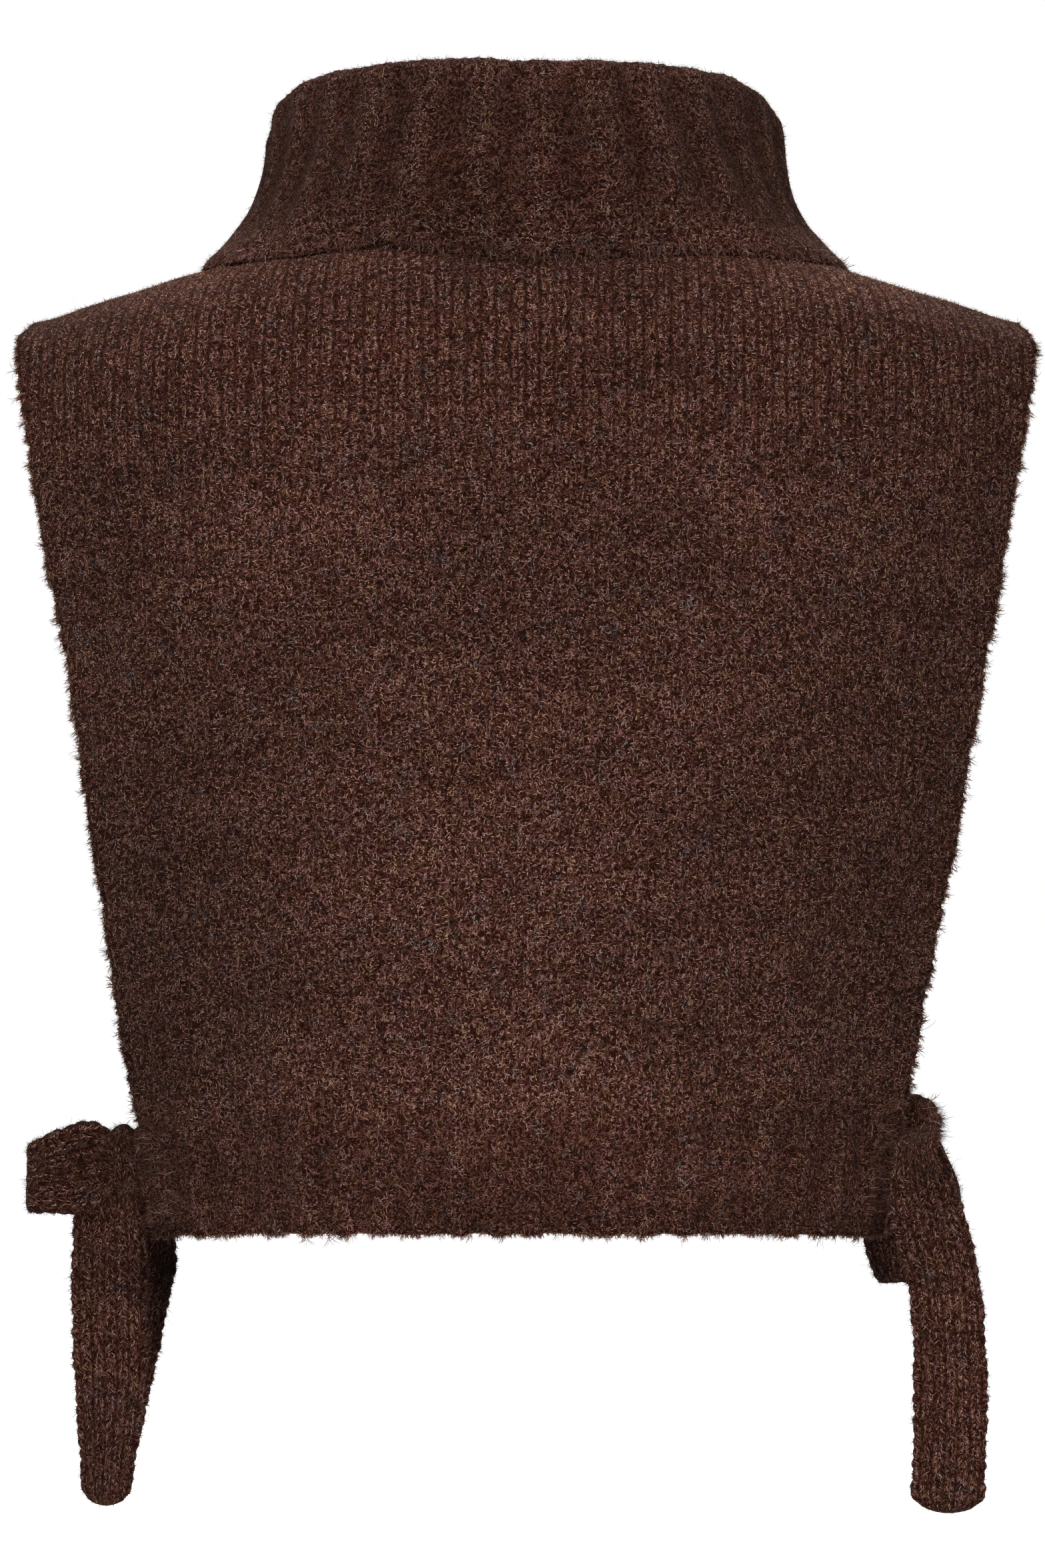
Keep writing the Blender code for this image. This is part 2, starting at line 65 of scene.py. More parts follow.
KNIT = 0.0035           # wall of the panels and of each leaf of the collar
TIE_THICK = 0.0042
WALE, COURSE = 0.0066, 0.0043       # one stitch of the panels, across and up
TIE_WALE, TIE_COURSE = 0.0056, 0.0040
SEED = 20261


# --------------------------------------------------------------------------- small sums


def smooth_step(share: Any) -> Any:
    """A smooth rise from 0 to 1 as share goes from 0 to 1."""
    share = np.clip(share, 0.0, 1.0)
    return share * share * (3 - 2 * share)


def unit(vectors: Array) -> Array:
    """The vectors, each drawn out to a length of 1."""
    return vectors / np.maximum(np.linalg.norm(vectors, axis=-1, keepdims=True), 1e-12)


def wander(x: Array, y: Array, cell: float, seed: int) -> Array:
    """A smooth random field.

    Args:
        x, y: places, in metres.
        cell: how far apart its hills are.
        seed: which field it is.

    Returns:
        Its value at each place, from -1 to 1.
    """
    table = np.random.default_rng(SEED + seed).uniform(-1, 1, (64, 64))
    i, j = x / cell, y / cell
    a, b = np.floor(i).astype(int), np.floor(j).astype(int)
    s, t = smooth_step(i - a), smooth_step(j - b)
    a, b, c, d = a % 64, b % 64, (a + 1) % 64, (b + 1) % 64
    return (table[a, b] * (1 - s) + table[c, b] * s) * (1 - t) + (table[a, d] * (1 - s) + table[c, d] * s) * t


def grid_normals(points: Array, ring: bool = False) -> Array:
    """Unit normals of a grid of points.

    Args:
        points: rows of columns of places.
        ring: whether each row's last column joins its first.

    Returns:
        A normal for each place, all on the same side of the grid.
    """
    if ring:
        points = np.concatenate([points[:, -1:], points, points[:, :1]], axis=1)
    normals = unit(np.cross(np.gradient(points, axis=1), np.gradient(points, axis=0)))
    return normals[:, 1:-1] if ring else normals


def lengths_along(points: Array, axis: int = 0) -> Array:
    """How far each place is along its row or column, from the first one."""
    steps = np.linalg.norm(np.diff(points, axis=axis), axis=-1)
    return np.concatenate([np.zeros_like(np.take(steps, [0], axis)), np.cumsum(steps, axis)], axis)


# --------------------------------------------------------------------------- cloth as meshes


def grid_faces(rows: int, columns: int, ring: bool, first: int = 0) -> list[tuple[int, ...]]:
    """Quads between rows of points.

    Args:
        rows, columns: how many points there are each way.
        ring: whether each row's last point joins its first.
        first: the number of the grid's first point in its mesh.

    Returns:
        The corners of each quad.
    """
    r, c = np.meshgrid(np.arange(rows - 1), np.arange(columns if ring else columns - 1), indexing="ij")
    d = (c + 1) % columns
    quads = np.stack([r * columns + c, r * columns + d, (r + 1) * columns + d, (r + 1) * columns + c], -1)
    return [tuple(q) for q in (quads.reshape(-1, 4) + first).tolist()]


def closed_tube(name: str, rings: Array, coords: Array, material: Material, around: float = 0.0) -> Piece:
    """A tube through rings of points, closed at both ends.

    Args:
        name: what the piece is called.
        rings, coords: its points, and their places on the flat knitting.
        material: its finish.
        around: how long it is round, or 0 where its coordinates have no join.

    Returns:
        The piece.
    """
    rows, columns = rings.shape[:2]
    ends = [tuple(range(columns)), tuple(range((rows - 1) * columns, rows * columns))]
    faces = grid_faces(rows, columns, True) + ends
    return mesh_object(name, rings.reshape(-1, 3), faces, coords.reshape(-1, 2), material, around)


@dataclass
class Cloth:
    """A closed wall of cloth between a fine outside and a plainer inside.

    The inside has every other row and column of the outside. coords are the places on the flat
    knitting, in metres. ring joins each row's ends. shade is painted shade: 1 in the ribs' valleys and 0
    elsewhere.
    """

    name: str
    outside: Array
    inside: Array
    coords: Array
    ring: bool = False
    shade: Array | None = None

    def faces(self) -> list[tuple[int, ...]]:
        """Its faces: the outside, the inside, and the rims, where two outer spans meet one inner span.

        Returns:
            The corners of each face.
        """
        rows, columns = self.outside.shape[:2]
        low_rows, low_columns = self.inside.shape[:2]
        start = rows * columns
        found = grid_faces(rows, columns, self.ring) + grid_faces(low_rows, low_columns, self.ring, start)
        spans = low_columns if self.ring else low_columns - 1
        for r, low in ((0, 0), (rows - 1, low_rows - 1)):
            for c in range(spans):
                fine = [r * columns + (2 * c + k) % columns for k in range(3)]
                coarse = [start + low * low_columns + (c + k) % low_columns for k in (1, 0)]
                found.append((*fine, *coarse))
        if not self.ring:
            for c, low in ((0, 0), (columns - 1, low_columns - 1)):
                for r in range(low_rows - 1):
                    fine = [(2 * r + k) * columns + c for k in range(3)]
                    coarse = [start + (r + k) * low_columns + low for k in (1, 0)]
                    found.append((*fine, *coarse))
        return found

    def build(self, material: Material) -> Piece:
        """Makes the mesh.

        Args:
            material: the knit that it is dressed in.

        Returns:
            The piece, at the origin.
        """
        points = np.concatenate([self.outside.reshape(-1, 3), self.inside.reshape(-1, 3)])
        low = self.coords[::2, ::2]
        coords = np.concatenate([self.coords.reshape(-1, 2), low.reshape(-1, 2) + (0.0, 2.0)])
        width = self.coords[0, 1, 0] - self.coords[0, 0, 0]
        around = self.outside.shape[1] * width if self.ring else 0.0
        piece = mesh_object(self.name, points, self.faces(), coords, material, around)
        if self.shade is not None:
            shade = np.concatenate([self.shade.ravel(), np.zeros(self.inside[..., 0].size)])
            layer = piece.data.attributes.new("shade", "FLOAT", "POINT")
            layer.data.foreach_set("value", shade.astype(np.float32))
        return piece


def in_scene(name: str, data: Any) -> Piece:
    """A new object of the data, in the scene.

    Args:
        name: what it is called.
        data: its mesh, lamp or lens.

    Returns:
        The object.
    """
    found = bpy.data.objects.new(name, data)
    bpy.context.scene.collection.objects.link(found)
    return found


def mesh_object(
    name: str, points: Array, faces: list[tuple[int, ...]], coords: Array, material: Material,
    around: float = 0.0, point_out: bool = True,
) -> Piece:
    """A mesh object with its knit coordinates.

    Args:
        name: what the piece is called.
        points, faces: its corners and faces.
        coords: each corner's place on the flat knitting, in metres.
        material: its finish.
        around: for a tube, how long it is round, so that the coordinates run on past its join.
        point_out: whether the faces are turned to point out.

    Returns:
        The piece.
    """
    data = bpy.data.meshes.new(name)
    data.from_pydata(points.tolist(), [], faces)
    corners = np.zeros(len(data.loops), int)
    data.loops.foreach_get("vertex_index", corners)
    uv = coords[corners].astype(np.float64)
    if around:
        starts = np.repeat([p.loop_start for p in data.polygons], [p.loop_total for p in data.polygons])
        uv[uv[:, 0] < uv[starts, 0] - around / 2, 0] += around
        uv[uv[:, 0] > uv[starts, 0] + around / 2, 0] -= around
    layer = data.uv_layers.new(name="knit")
    layer.data.foreach_set("uv", uv.astype(np.float32).ravel())
    if point_out:
        mesh = bmesh.new()
        mesh.from_mesh(data)
        bmesh.ops.recalc_face_normals(mesh, faces=mesh.faces)
        mesh.to_mesh(data)
        mesh.free()
    data.shade_smooth()
    data.materials.append(material)
    return in_scene(name, data)


class Lay(Enum):
    """How loose fibres lie on the knit: (spread from the wale in radians, least and most lift in radians)."""

    BRUSHED = (0.80, 0.05, 0.50)
    RUFFLED = (1.57, 0.15, 0.95)


class Habit:
    """How fibres grow: shares of their own size and of a unit direction."""

    TUFT_SPREAD = 0.42      # how far a tuft leans from its way
    OWN_SPREAD = 0.34       # how far a fibre leans from its tuft
    LOOSE = 0.22            # how far a fibre stands from its tuft's middle
    BEND = 0.55
    DROOP = 0.12
    ROLL = 0.6
    TAPER = 0.5
    RARE = 2.2              # how much rarer the long ones are
    SUNK = 0.0002


@dataclass
class Fuzz:
    """Loose fibres of one piece, each a narrow bent ribbon that ends in a point.

    Fibres with a clump of more than one grow in tufts, which point the same way.
    """

    name: str
    count: int
    shortest: float = 0.0025
    longest: float = 0.0070
    width: float = 0.00017
    bends: int = 2
    lay: Lay = Lay.BRUSHED
    seed: int = 0
    clump: int = 1

    def roots(self, places: Array, weights: Array, ring: bool, towards: Array | None = None) -> list[Array]:
        """Where the fibres start.

        Args:
            places: rows of columns of places on the surface.
            weights: how thickly they grow at each place.
            ring: whether the rows join at their ends.
            towards: the way that tufts point at each place, if they have one.

        Returns:
            The roots, the surface's normals there, the directions of its wales and where they point.
        """
        chance = np.random.default_rng(SEED + 900 + self.seed)
        normals = grid_normals(places, ring)
        wales = unit(np.gradient(places, axis=0))
        grids = [places, normals, wales, wales if towards is None else towards]
        if ring:
            weights, *grids = (np.concatenate([a, a[:, :1]], axis=1) for a in (weights, *grids))
        a, b, c = grids[0][:-1, :-1], grids[0][:-1, 1:], grids[0][1:, :-1]
        size = np.linalg.norm(np.cross(b - a, c - a), axis=-1) * weights[:-1, :-1]
        tufts = -(-self.count // self.clump)
        picked = chance.choice(size.size, tufts, p=(size / size.sum()).ravel())
        picked = picked.repeat(self.clump)[: self.count]
        row, column = np.unravel_index(picked, size.shape)
        middle = chance.random((2, tufts)).repeat(self.clump, axis=1)[:, : self.count]
        loose = 0.0 if self.clump == 1 else Habit.LOOSE
        s, t = np.clip(middle + loose * chance.normal(size=(2, self.count)), 0, 1)[..., None]

        def between(grid: Array) -> Array:
            """The grid's value at each fibre's place inside its cell."""
            upper = grid[row, column] * (1 - s) + grid[row, column + 1] * s
            lower = grid[row + 1, column] * (1 - s) + grid[row + 1, column + 1] * s
            return upper * (1 - t) + lower * t

        return [between(grids[0])] + [unit(between(grid)) for grid in grids[1:]]

    def grow(
        self, places: Array, weights: Array, outward: float, material: Material,
        ring: bool = False, towards: Array | None = None,
    ) -> Piece:
        """Makes the fibres of a surface.

        Args:
            places: the surface that they grow on.
            weights: how thickly they grow at each place.
            outward: 1 or -1, which turns the grid's normals outward.
            material: their finish.
            ring: whether the surface's rows join at their ends.
            towards: the way that tufts point at each place.

        Returns:
            The piece.
        """
        root, normal, wale, toward = self.roots(places, weights, ring, towards)
        strands = self.strands(root, normal * outward, wale, None if towards is None else toward)
        return strands_object(self.name, [strands], material)

    def strands(
        self, root: Array, normal: Array, wale: Array, toward: Array | None = None
    ) -> tuple[Array, Array]:
        """Draws a ribbon from each root.

        Args:
            root, normal, wale: each fibre's start and the surface's directions there.
            toward: the way that each tuft points, if it has one.

        Returns:
            The ribbons' corners, fibre by fibre, and their coordinates: a tint, and how far along the fibre.
        """
        chance = np.random.default_rng(SEED + 500 + self.seed)
        count = len(root)
        tufts = -(-count // self.clump)
        if toward is None:
            spread, low, high = self.lay.value
            turn = chance.normal(0, spread, (count, 1)) + np.pi * (chance.random((count, 1)) < 0.5)
            lift = chance.uniform(low, high, (count, 1))
            flat = np.cos(turn) * wale + np.sin(turn) * unit(np.cross(wale, normal))
            way = np.cos(lift) * flat + np.sin(lift) * normal
        else:
            shared = chance.normal(0, Habit.TUFT_SPREAD, (tufts, 3)).repeat(self.clump, axis=0)[:count]
            way = unit(toward + shared + chance.normal(0, Habit.OWN_SPREAD, (count, 3)))
        size = chance.random(tufts).repeat(self.clump)[:count] ** Habit.RARE * chance.uniform(0.6, 1.0, count)
        long = (self.shortest + (self.longest - self.shortest) * size)[:, None]
        bent = unit(np.cross(way, chance.normal(size=(count, 3)))) * chance.normal(0, Habit.BEND, (count, 1))
        wide = self.width * chance.uniform(0.6, 1.3, (count, 1))
        roll = Habit.ROLL * chance.uniform(-1.0, 1.0, (count, 1))
        point = root - Habit.SUNK * normal
        rings = []
        for k in range(self.bends):
            side = unit(np.cross(way, normal) + roll * normal) * wide * (1 - Habit.TAPER * k / self.bends) / 2
            rings += [point - side, point + side]
            point = point + way * long / self.bends
            way = unit(way + bent - Habit.DROOP * normal)
        corners = np.stack([*rings, point], axis=1)
        per = corners.shape[1]
        tint = chance.random((count, 1)).repeat(per, axis=1)
        along = np.array([k // 2 for k in range(per)]) / self.bends
        coords = np.stack([tint + 0.00002 * (np.arange(per) % 2), along[None].repeat(count, axis=0)], -1)
        return corners, coords


def strands_object(name: str, strands: list[tuple[Array, Array]], material: Material) -> Piece:
    """One mesh of all the ribbons.

    Args:
        name: what the piece is called.
        strands: groups of ribbons, each with its corners and coordinates.
        material: their finish.

    Returns:
        The piece.
    """
    faces: list[tuple[int, ...]] = []
    start = 0
    for corners, _ in strands:
        count, per = corners.shape[:2]
        base = start + np.arange(count)[:, None] * per
        for k in range(0, per - 3, 2):
            faces += [tuple(f) for f in (base + [k, k + 1, k + 3, k + 2]).tolist()]
        faces += [tuple(f) for f in (base + [per - 3, per - 2, per - 1]).tolist()]
        start += count * per
    points = np.concatenate([corners.reshape(-1, 3) for corners, _ in strands])
    coords = np.concatenate([places.reshape(-1, 2) for _, places in strands])
    return mesh_object(name, points, faces, coords, material, point_out=False)


# --------------------------------------------------------------------------- node helpers


class Graph:
    """Adds nodes to a tree and joins them."""

    def __init__(self, tree: Tree) -> None:
        """Keeps the tree."""
        self.tree = tree

    def set(self, socket: Socket, value: Any) -> None:
        """Gives an input a value, or links another node's output to it.

        Args:
            socket: the input.
            value: a number, a colour, a place or the output to link.
        """
        if isinstance(value, Socket):
            self.tree.links.new(value, socket)
        else:
            socket.default_value = value

    def add(self, kind: str, inputs: dict[Any, Any] | None = None, **settings: Any) -> Node:
        """Adds a node.

        Args:
            kind: Blender's name for the node, without its ShaderNode.
            inputs: the values or links of its inputs, by name or number.
            settings: its own settings.

        Returns:
            The node.
        """
        node = self.tree.nodes.new(f"ShaderNode{kind}")
        for name, value in settings.items():
            setattr(node, name, value)
        for name, value in (inputs or {}).items():
            self.set(node.inputs[name], value)
        return node

    def math(self, operation: str, *values: Any, clamp: bool = False) -> Socket:
        """The result of a sum on values or links."""
        node = self.add("Math", dict(enumerate(values)), operation=operation, use_clamp=clamp)
        return node.outputs[0]

    def times(self, a: Any, b: Any) -> Socket:
        """One value multiplied by another."""
        return self.math("MULTIPLY", a, b)

    def line(self, value: Any, slope: Any, start: Any) -> Socket:
        """A value multiplied by slope, with start added."""
        return self.math("MULTIPLY_ADD", value, slope, start)

    def centred(self, value: Any) -> Socket:
        """A value from 0 to 1, moved to lie round 0."""
        return self.math("SUBTRACT", value, 0.5)

    def vector(self, operation: str, *values: Any) -> Socket:
        """The result of a sum on vectors."""
        node = self.add("VectorMath", dict(enumerate(values)), operation=operation)
        return node.outputs["Value"] if operation in ("DOT_PRODUCT", "LENGTH") else node.outputs[0]

    def mix(self, share: Any, a: Any, b: Any, blend: str = "MIX") -> Socket:
        """Two colours mixed by share."""
        node = self.add("Mix", {0: share, 6: a, 7: b}, data_type="RGBA", blend_type=blend)
        return node.outputs[2]

    def blend(self, share: Any, a: Any, b: Any) -> Socket:
        """Two numbers mixed by share."""
        return self.add("Mix", {0: share, 2: a, 3: b}, data_type="FLOAT").outputs[0]

    def soft(self, value: Any, start: Any, end: Any) -> Socket:
        """0 where value is at start and 1 where it is at end, smooth between them."""
        inputs = {0: value, 1: start, 2: end, 3: 0.0, 4: 1.0}
        return self.add("MapRange", inputs, interpolation_type="SMOOTHSTEP").outputs[0]

    def noise(self, place: Any, scale: float, detail: float = 2.0, rough: float = 0.5) -> Node:
        """A cloudy texture."""
        return self.add("TexNoise", {"Vector": place, "Scale": scale, "Detail": detail, "Roughness": rough})


def new_material(name: str) -> tuple[Material, Graph, Node]:
    """A new material, its graph and its shader.

    Args:
        name: what it is called.

    Returns:
        The material, its graph and its shader.
    """
    material = bpy.data.materials.new(name)
    material.use_nodes = True
    return material, Graph(material.node_tree), material.node_tree.nodes["Principled BSDF"]


class Kind(Enum):
    """Sockets of a node group."""

    NUMBER = "NodeSocketFloat"
    PLACE = "NodeSocketVector"
    COLOUR = "NodeSocketColor"

    @classmethod
    def of(cls, usual: Any) -> Kind:
        """The kind of socket for a usual value, which is None for a place.

        Args:
            usual: the value.

        Returns:
            The kind.
        """
        if usual is None:
            return cls.PLACE
        return cls.COLOUR if isinstance(usual, tuple) else cls.NUMBER


def new_group(name: str, takes: dict[str, Any], gives: dict[str, Kind]) -> tuple[Tree, Graph, Node, Node]:
    """Starts a node group.

    Args:
        name: what it is called.
        takes: its inputs, each with its usual value.
        gives: its outputs.

    Returns:
        The group, its graph, and its inner input and output nodes.
    """
    tree = bpy.data.node_groups.new(name, "ShaderNodeTree")
    for label, usual in takes.items():
        socket = tree.interface.new_socket(label, in_out="INPUT", socket_type=Kind.of(usual).value)
        if usual is not None:
            socket.default_value = usual
    for label, kind in gives.items():
        tree.interface.new_socket(label, in_out="OUTPUT", socket_type=kind.value)
    return tree, Graph(tree), tree.nodes.new("NodeGroupInput"), tree.nodes.new("NodeGroupOutput")


class Stitch:
    """One V stitch, in shares of its own size where nothing else is said."""

    SWAY_ACROSS, SWAY_UP = 0.55, 1.1    # how far the wool's unevenness moves it
    SLANT = 0.75            # how much its legs climb on their way out
    LEG_ROUND, LOOP_ROUND = 0.6, 0.7
    LOOP_RISE = 0.35
    CLEARING = 0.085        # metres over which the wales come clear of the fibres
    IN_PATCHES = 0.35       # how much of them shows through lower down


class Strand:
    """One lying fibre, as drawn in the finish."""

    SHIFT = (0.0317, 0.0471)    # between the layers, in metres, so that their cells differ
    FIRST = 0.11
    BEND, STRAY_BEND = 420.0, 200.0
    STRAY_SPREAD = 5.0
    # Painted shade on each fibre's sides, so that its middle reads lighter, as on a round fibre.
    ROUND = 0.65            # how much lighter its middle is than its sides
    COVER = 3.5


@dataclass(frozen=True)
class Layer:
    """Lying fibres of one kind: how far apart they are, and their half length and half width."""

    cell: float
    half_length: float
    half_width: float
    stray: bool = False


SHORT, MIDDLING = Layer(0.0016, 0.00125, 0.00041), Layer(0.0022, 0.0020, 0.00029)
STRAY = Layer(0.0058, 0.0029, 0.00020, True)
LAYERS = (SHORT, SHORT, SHORT, MIDDLING, MIDDLING, STRAY, STRAY)


def stitches_group() -> Tree:
    """Plain knitting: columns of V stitches, a little uneven.

    Returns:
        The group. Height is the stitches' relief, Gap the holes between them, and Furrow the lines
        between the wales.
    """
    tree, g, given, out = new_group(
        "v_stitches",
        {"Place": None, "Wale": WALE, "Course": COURSE, "Clear From": 9.0},
        {"Height": Kind.NUMBER, "Gap": Kind.NUMBER, "Furrow": Kind.NUMBER},
    )
    at, first = given.outputs["Place"], given.outputs["Clear From"]
    sway = g.noise(at, 75.0, 2.0)
    parts = g.add("SeparateColor", {0: sway.outputs["Color"]})
    place = g.add("SeparateXYZ", {0: at})
    x = g.math("DIVIDE", place.outputs[0], given.outputs["Wale"])
    y = g.math("DIVIDE", place.outputs[1], given.outputs["Course"])
    x = g.line(g.centred(parts.outputs[0]), Stitch.SWAY_ACROSS, x)
    y = g.line(g.centred(parts.outputs[1]), Stitch.SWAY_UP, y)
    from_middle = g.math("ABSOLUTE", g.line(g.math("FRACT", x), 2.0, -1.0))
    rise = g.math("FRACT", g.line(from_middle, -Stitch.SLANT, y))
    leg = g.math("POWER", g.math("SINE", g.times(from_middle, math.pi)), Stitch.LEG_ROUND)
    loop = g.math("POWER", g.math("SINE", g.times(rise, math.pi)), Stitch.LOOP_ROUND)
    height = g.times(leg, g.line(loop, Stitch.LOOP_RISE, 1 - Stitch.LOOP_RISE))
    patch = g.soft(g.noise(at, 30.0, 3.0).outputs[0], 0.44, 0.70)
    clear = g.soft(place.outputs[1], first, g.math("ADD", first, Stitch.CLEARING))
    patch = g.math("MAXIMUM", g.times(patch, Stitch.IN_PATCHES), clear)
    shown = g.line(patch, 0.5, 0.5)
    g.set(out.inputs["Height"], g.times(height, shown))
    g.set(out.inputs["Gap"], g.times(g.soft(height, 0.50, 0.10), shown))
    g.set(out.inputs["Furrow"], g.times(g.soft(from_middle, 0.50, 1.0), patch))
    return tree


def fibres_group() -> Tree:
    """Fibres that lie across each other: short ones that follow the stitches' legs, and stray ones over them.

    Returns:
        The group. Level is how light the uppermost fibre is, and Height how high it lies.
    """
    tree, g, given, out = new_group(
        "loose_fibres",
        {"Place": None, "Wale": WALE, "Lean": 0.6, "Spread": 1.9},
        {"Level": Kind.NUMBER, "Height": Kind.NUMBER},
    )
    level: Any = 0.05
    height: Any = 0.0
    for number, layer in enumerate(LAYERS):
        start = Strand.SHIFT[0] * number + Strand.FIRST
        moved = g.vector("ADD", given.outputs["Place"], (start, Strand.SHIFT[1] * number, 0.0))
        inputs = {"Vector": moved, "Scale": 1 / layer.cell}
        cells = g.add("TexVoronoi", inputs, voronoi_dimensions="2D", feature="F1")
        chance = g.add("SeparateColor", {0: cells.outputs["Color"]})
        away = g.vector("SUBTRACT", moved, cells.outputs["Position"])
        spread = Strand.STRAY_SPREAD if layer.stray else given.outputs["Spread"]
        angle = g.times(g.centred(chance.outputs[0]), spread)
        if not layer.stray:
            seat = g.add("SeparateXYZ", {0: cells.outputs["Position"]}).outputs[0]
            leg = g.math("FRACT", g.math("DIVIDE", g.math("SUBTRACT", seat, start), given.outputs["Wale"]))
            angle = g.line(g.math("SIGN", g.centred(leg)), given.outputs["Lean"], angle)
        turned = g.add("VectorRotate", {"Vector": away, "Angle": angle}, rotation_type="Z_AXIS")
        part = g.add("SeparateXYZ", {0: turned.outputs[0]})
        bend = g.times(g.centred(chance.outputs[1]), Strand.STRAY_BEND if layer.stray else Strand.BEND)
        bent = g.line(g.math("POWER", part.outputs[1], 2.0), bend, part.outputs[0])
        thin = g.soft(g.math("ABSOLUTE", bent), layer.half_width, 0.0)
        ends = g.soft(g.math("ABSOLUTE", part.outputs[1]), layer.half_length, layer.half_length * 0.3)
        body = g.times(thin, ends)
        cover = g.math("MULTIPLY", body, Strand.COVER, clamp=True)
        own = g.soft(chance.outputs[2], 0.02, 1.0)
        if layer.stray:
            own = g.line(own, 0.45, 0.45)
        own = g.times(own, g.line(body, Strand.ROUND, 1 - Strand.ROUND))
        level = g.blend(cover, level, own)
        height = g.blend(cover, height, g.line(body, 0.7, 0.05 * number))
    g.set(out.inputs["Level"], level)
    g.set(out.inputs["Height"], height)
    return tree


@dataclass(frozen=True)
class PaintedPatch:
    """A wide soft patch of painted light or painted shade on the brushed wool: its middle, half sizes and
    strength.
    """

    x: float
    z: float
    wide: float
    high: float
    gain: float


# Painted light and shade: lighter over the middle of the back, above the hem's ribs, on the shoulder tops and
# in a glint on the right bow; darker towards the sides and in the shadows in and under the bows.
PAINTED_PATCHES = (
    PaintedPatch(-0.005, -0.320, 0.115, 0.200, 0.27),
    PaintedPatch(-0.105, -0.330, 0.060, 0.140, -0.10),
    PaintedPatch(0.000, -0.392, 0.260, 0.050, 0.20),
    PaintedPatch(0.197, -0.530, 0.035, 0.120, 0.24),
    PaintedPatch(-0.095, -0.080, 0.100, 0.090, 0.13),
    PaintedPatch(0.105, -0.105, 0.060, 0.070, 0.08),
    PaintedPatch(0.000, -0.045, 0.330, 0.062, 0.20),
    PaintedPatch(-0.185, -0.340, 0.110, 0.230, -0.32),
    PaintedPatch(0.175, -0.310, 0.110, 0.220, -0.18),
    PaintedPatch(-0.210, -0.150, 0.080, 0.110, -0.10),
    PaintedPatch(0.210, -0.160, 0.080, 0.110, -0.08),
    PaintedPatch(-0.165, -0.004, 0.150, 0.034, 0.55),
    PaintedPatch(0.165, -0.004, 0.150, 0.034, 0.50),
    PaintedPatch(0.189, -0.397, 0.014, 0.026, 0.60),
    PaintedPatch(0.184, -0.428, 0.024, 0.036, -0.24),
    PaintedPatch(-0.165, -0.464, 0.024, 0.040, -0.88),
    PaintedPatch(-0.168, -0.497, 0.013, 0.042, -0.65),
    PaintedPatch(0.158, -0.463, 0.024, 0.034, -0.75),
)


def melange_group() -> Tree:
    """The yarn's mixed browns: a depth of colour for each level of light, tinted in threads and patches,
    under patches of painted light and shade.

    Returns:
        The group. Color is the yarn's colour.
    """
    tree, g, given, out = new_group(
        "melange_yarn",
        {
            "Place": None, "Level": 0.5, "Strength": 1.0,
            "Wine": (1.2, 0.85, 0.85, 1), "Brown": (1.1, 1.05, 0.85, 1), "Slate": (0.8, 0.95, 1.15, 1),
        },
        {"Color": Kind.COLOUR},
    )
    place = given.outputs["Place"]
    yarn = g.add("SeparateColor", {0: g.noise(place, 150.0, 3.0, 0.65).outputs["Color"]})
    speck = g.add("SeparateColor", {0: g.noise(place, 620.0, 2.0, 0.7).outputs["Color"]})
    cloud = g.noise(place, 17.0, 2.0).outputs[0]
    depth = g.add("ValToRGB", {0: given.outputs["Level"]})
    ramp = depth.color_ramp
    ramp.interpolation = "EASE"
    stops = (
        (0.0, (0.009, 0.0026, 0.0014)),
        (0.30, (0.036, 0.0140, 0.0095)),
        (0.55, (0.084, 0.043, 0.034)),
        (0.80, (0.166, 0.107, 0.092)),
        (1.0, (0.44, 0.36, 0.31)),
    )
    for i, (at, colour) in enumerate(stops):
        stop = ramp.elements[i] if i < 2 else ramp.elements.new(at)
        stop.position, stop.color = at, (*colour, 1.0)
    tint = given.outputs["Wine"]
    for cells, channel, start, end, colour in (
        (yarn, 0, 0.40, 0.62, "Brown"), (yarn, 1, 0.52, 0.70, "Slate"),
        (speck, 1, 0.56, 0.70, "Wine"), (speck, 0, 0.58, 0.72, "Brown"),
    ):
        tint = g.mix(g.soft(cells.outputs[channel], start, end), tint, given.outputs[colour])
    combed = g.noise(g.vector("MULTIPLY", place, (0.35, 0.35, 1.0)), 42.0, 1.0, 0.5).outputs[0]
    cloud, combed = g.line(cloud, 0.4, 0.8), g.line(combed, 0.6, 0.7)
    light = g.times(cloud, combed)
    # Painted light and shade from the patches.
    painted_light: Any = 1.0
    for patch in PAINTED_PATCHES:
        off = g.vector("SUBTRACT", place, (patch.x, 0.0, patch.z))
        away = g.vector("LENGTH", g.vector("MULTIPLY", off, (1 / patch.wide, 0.0, 1 / patch.high)))
        painted_light = g.times(g.line(g.soft(away, 1.0, 0.0), patch.gain, 1.0), painted_light)
    light = g.times(light, g.times(painted_light, given.outputs["Strength"]))
    whole = g.add("CombineColor", {0: light, 1: light, 2: light})
    colour = g.mix(1.0, depth.outputs[0], tint, "MULTIPLY")
    g.set(out.inputs["Color"], g.mix(1.0, colour, whole.outputs[0], "MULTIPLY"))
    return tree


# --------------------------------------------------------------------------- finishes


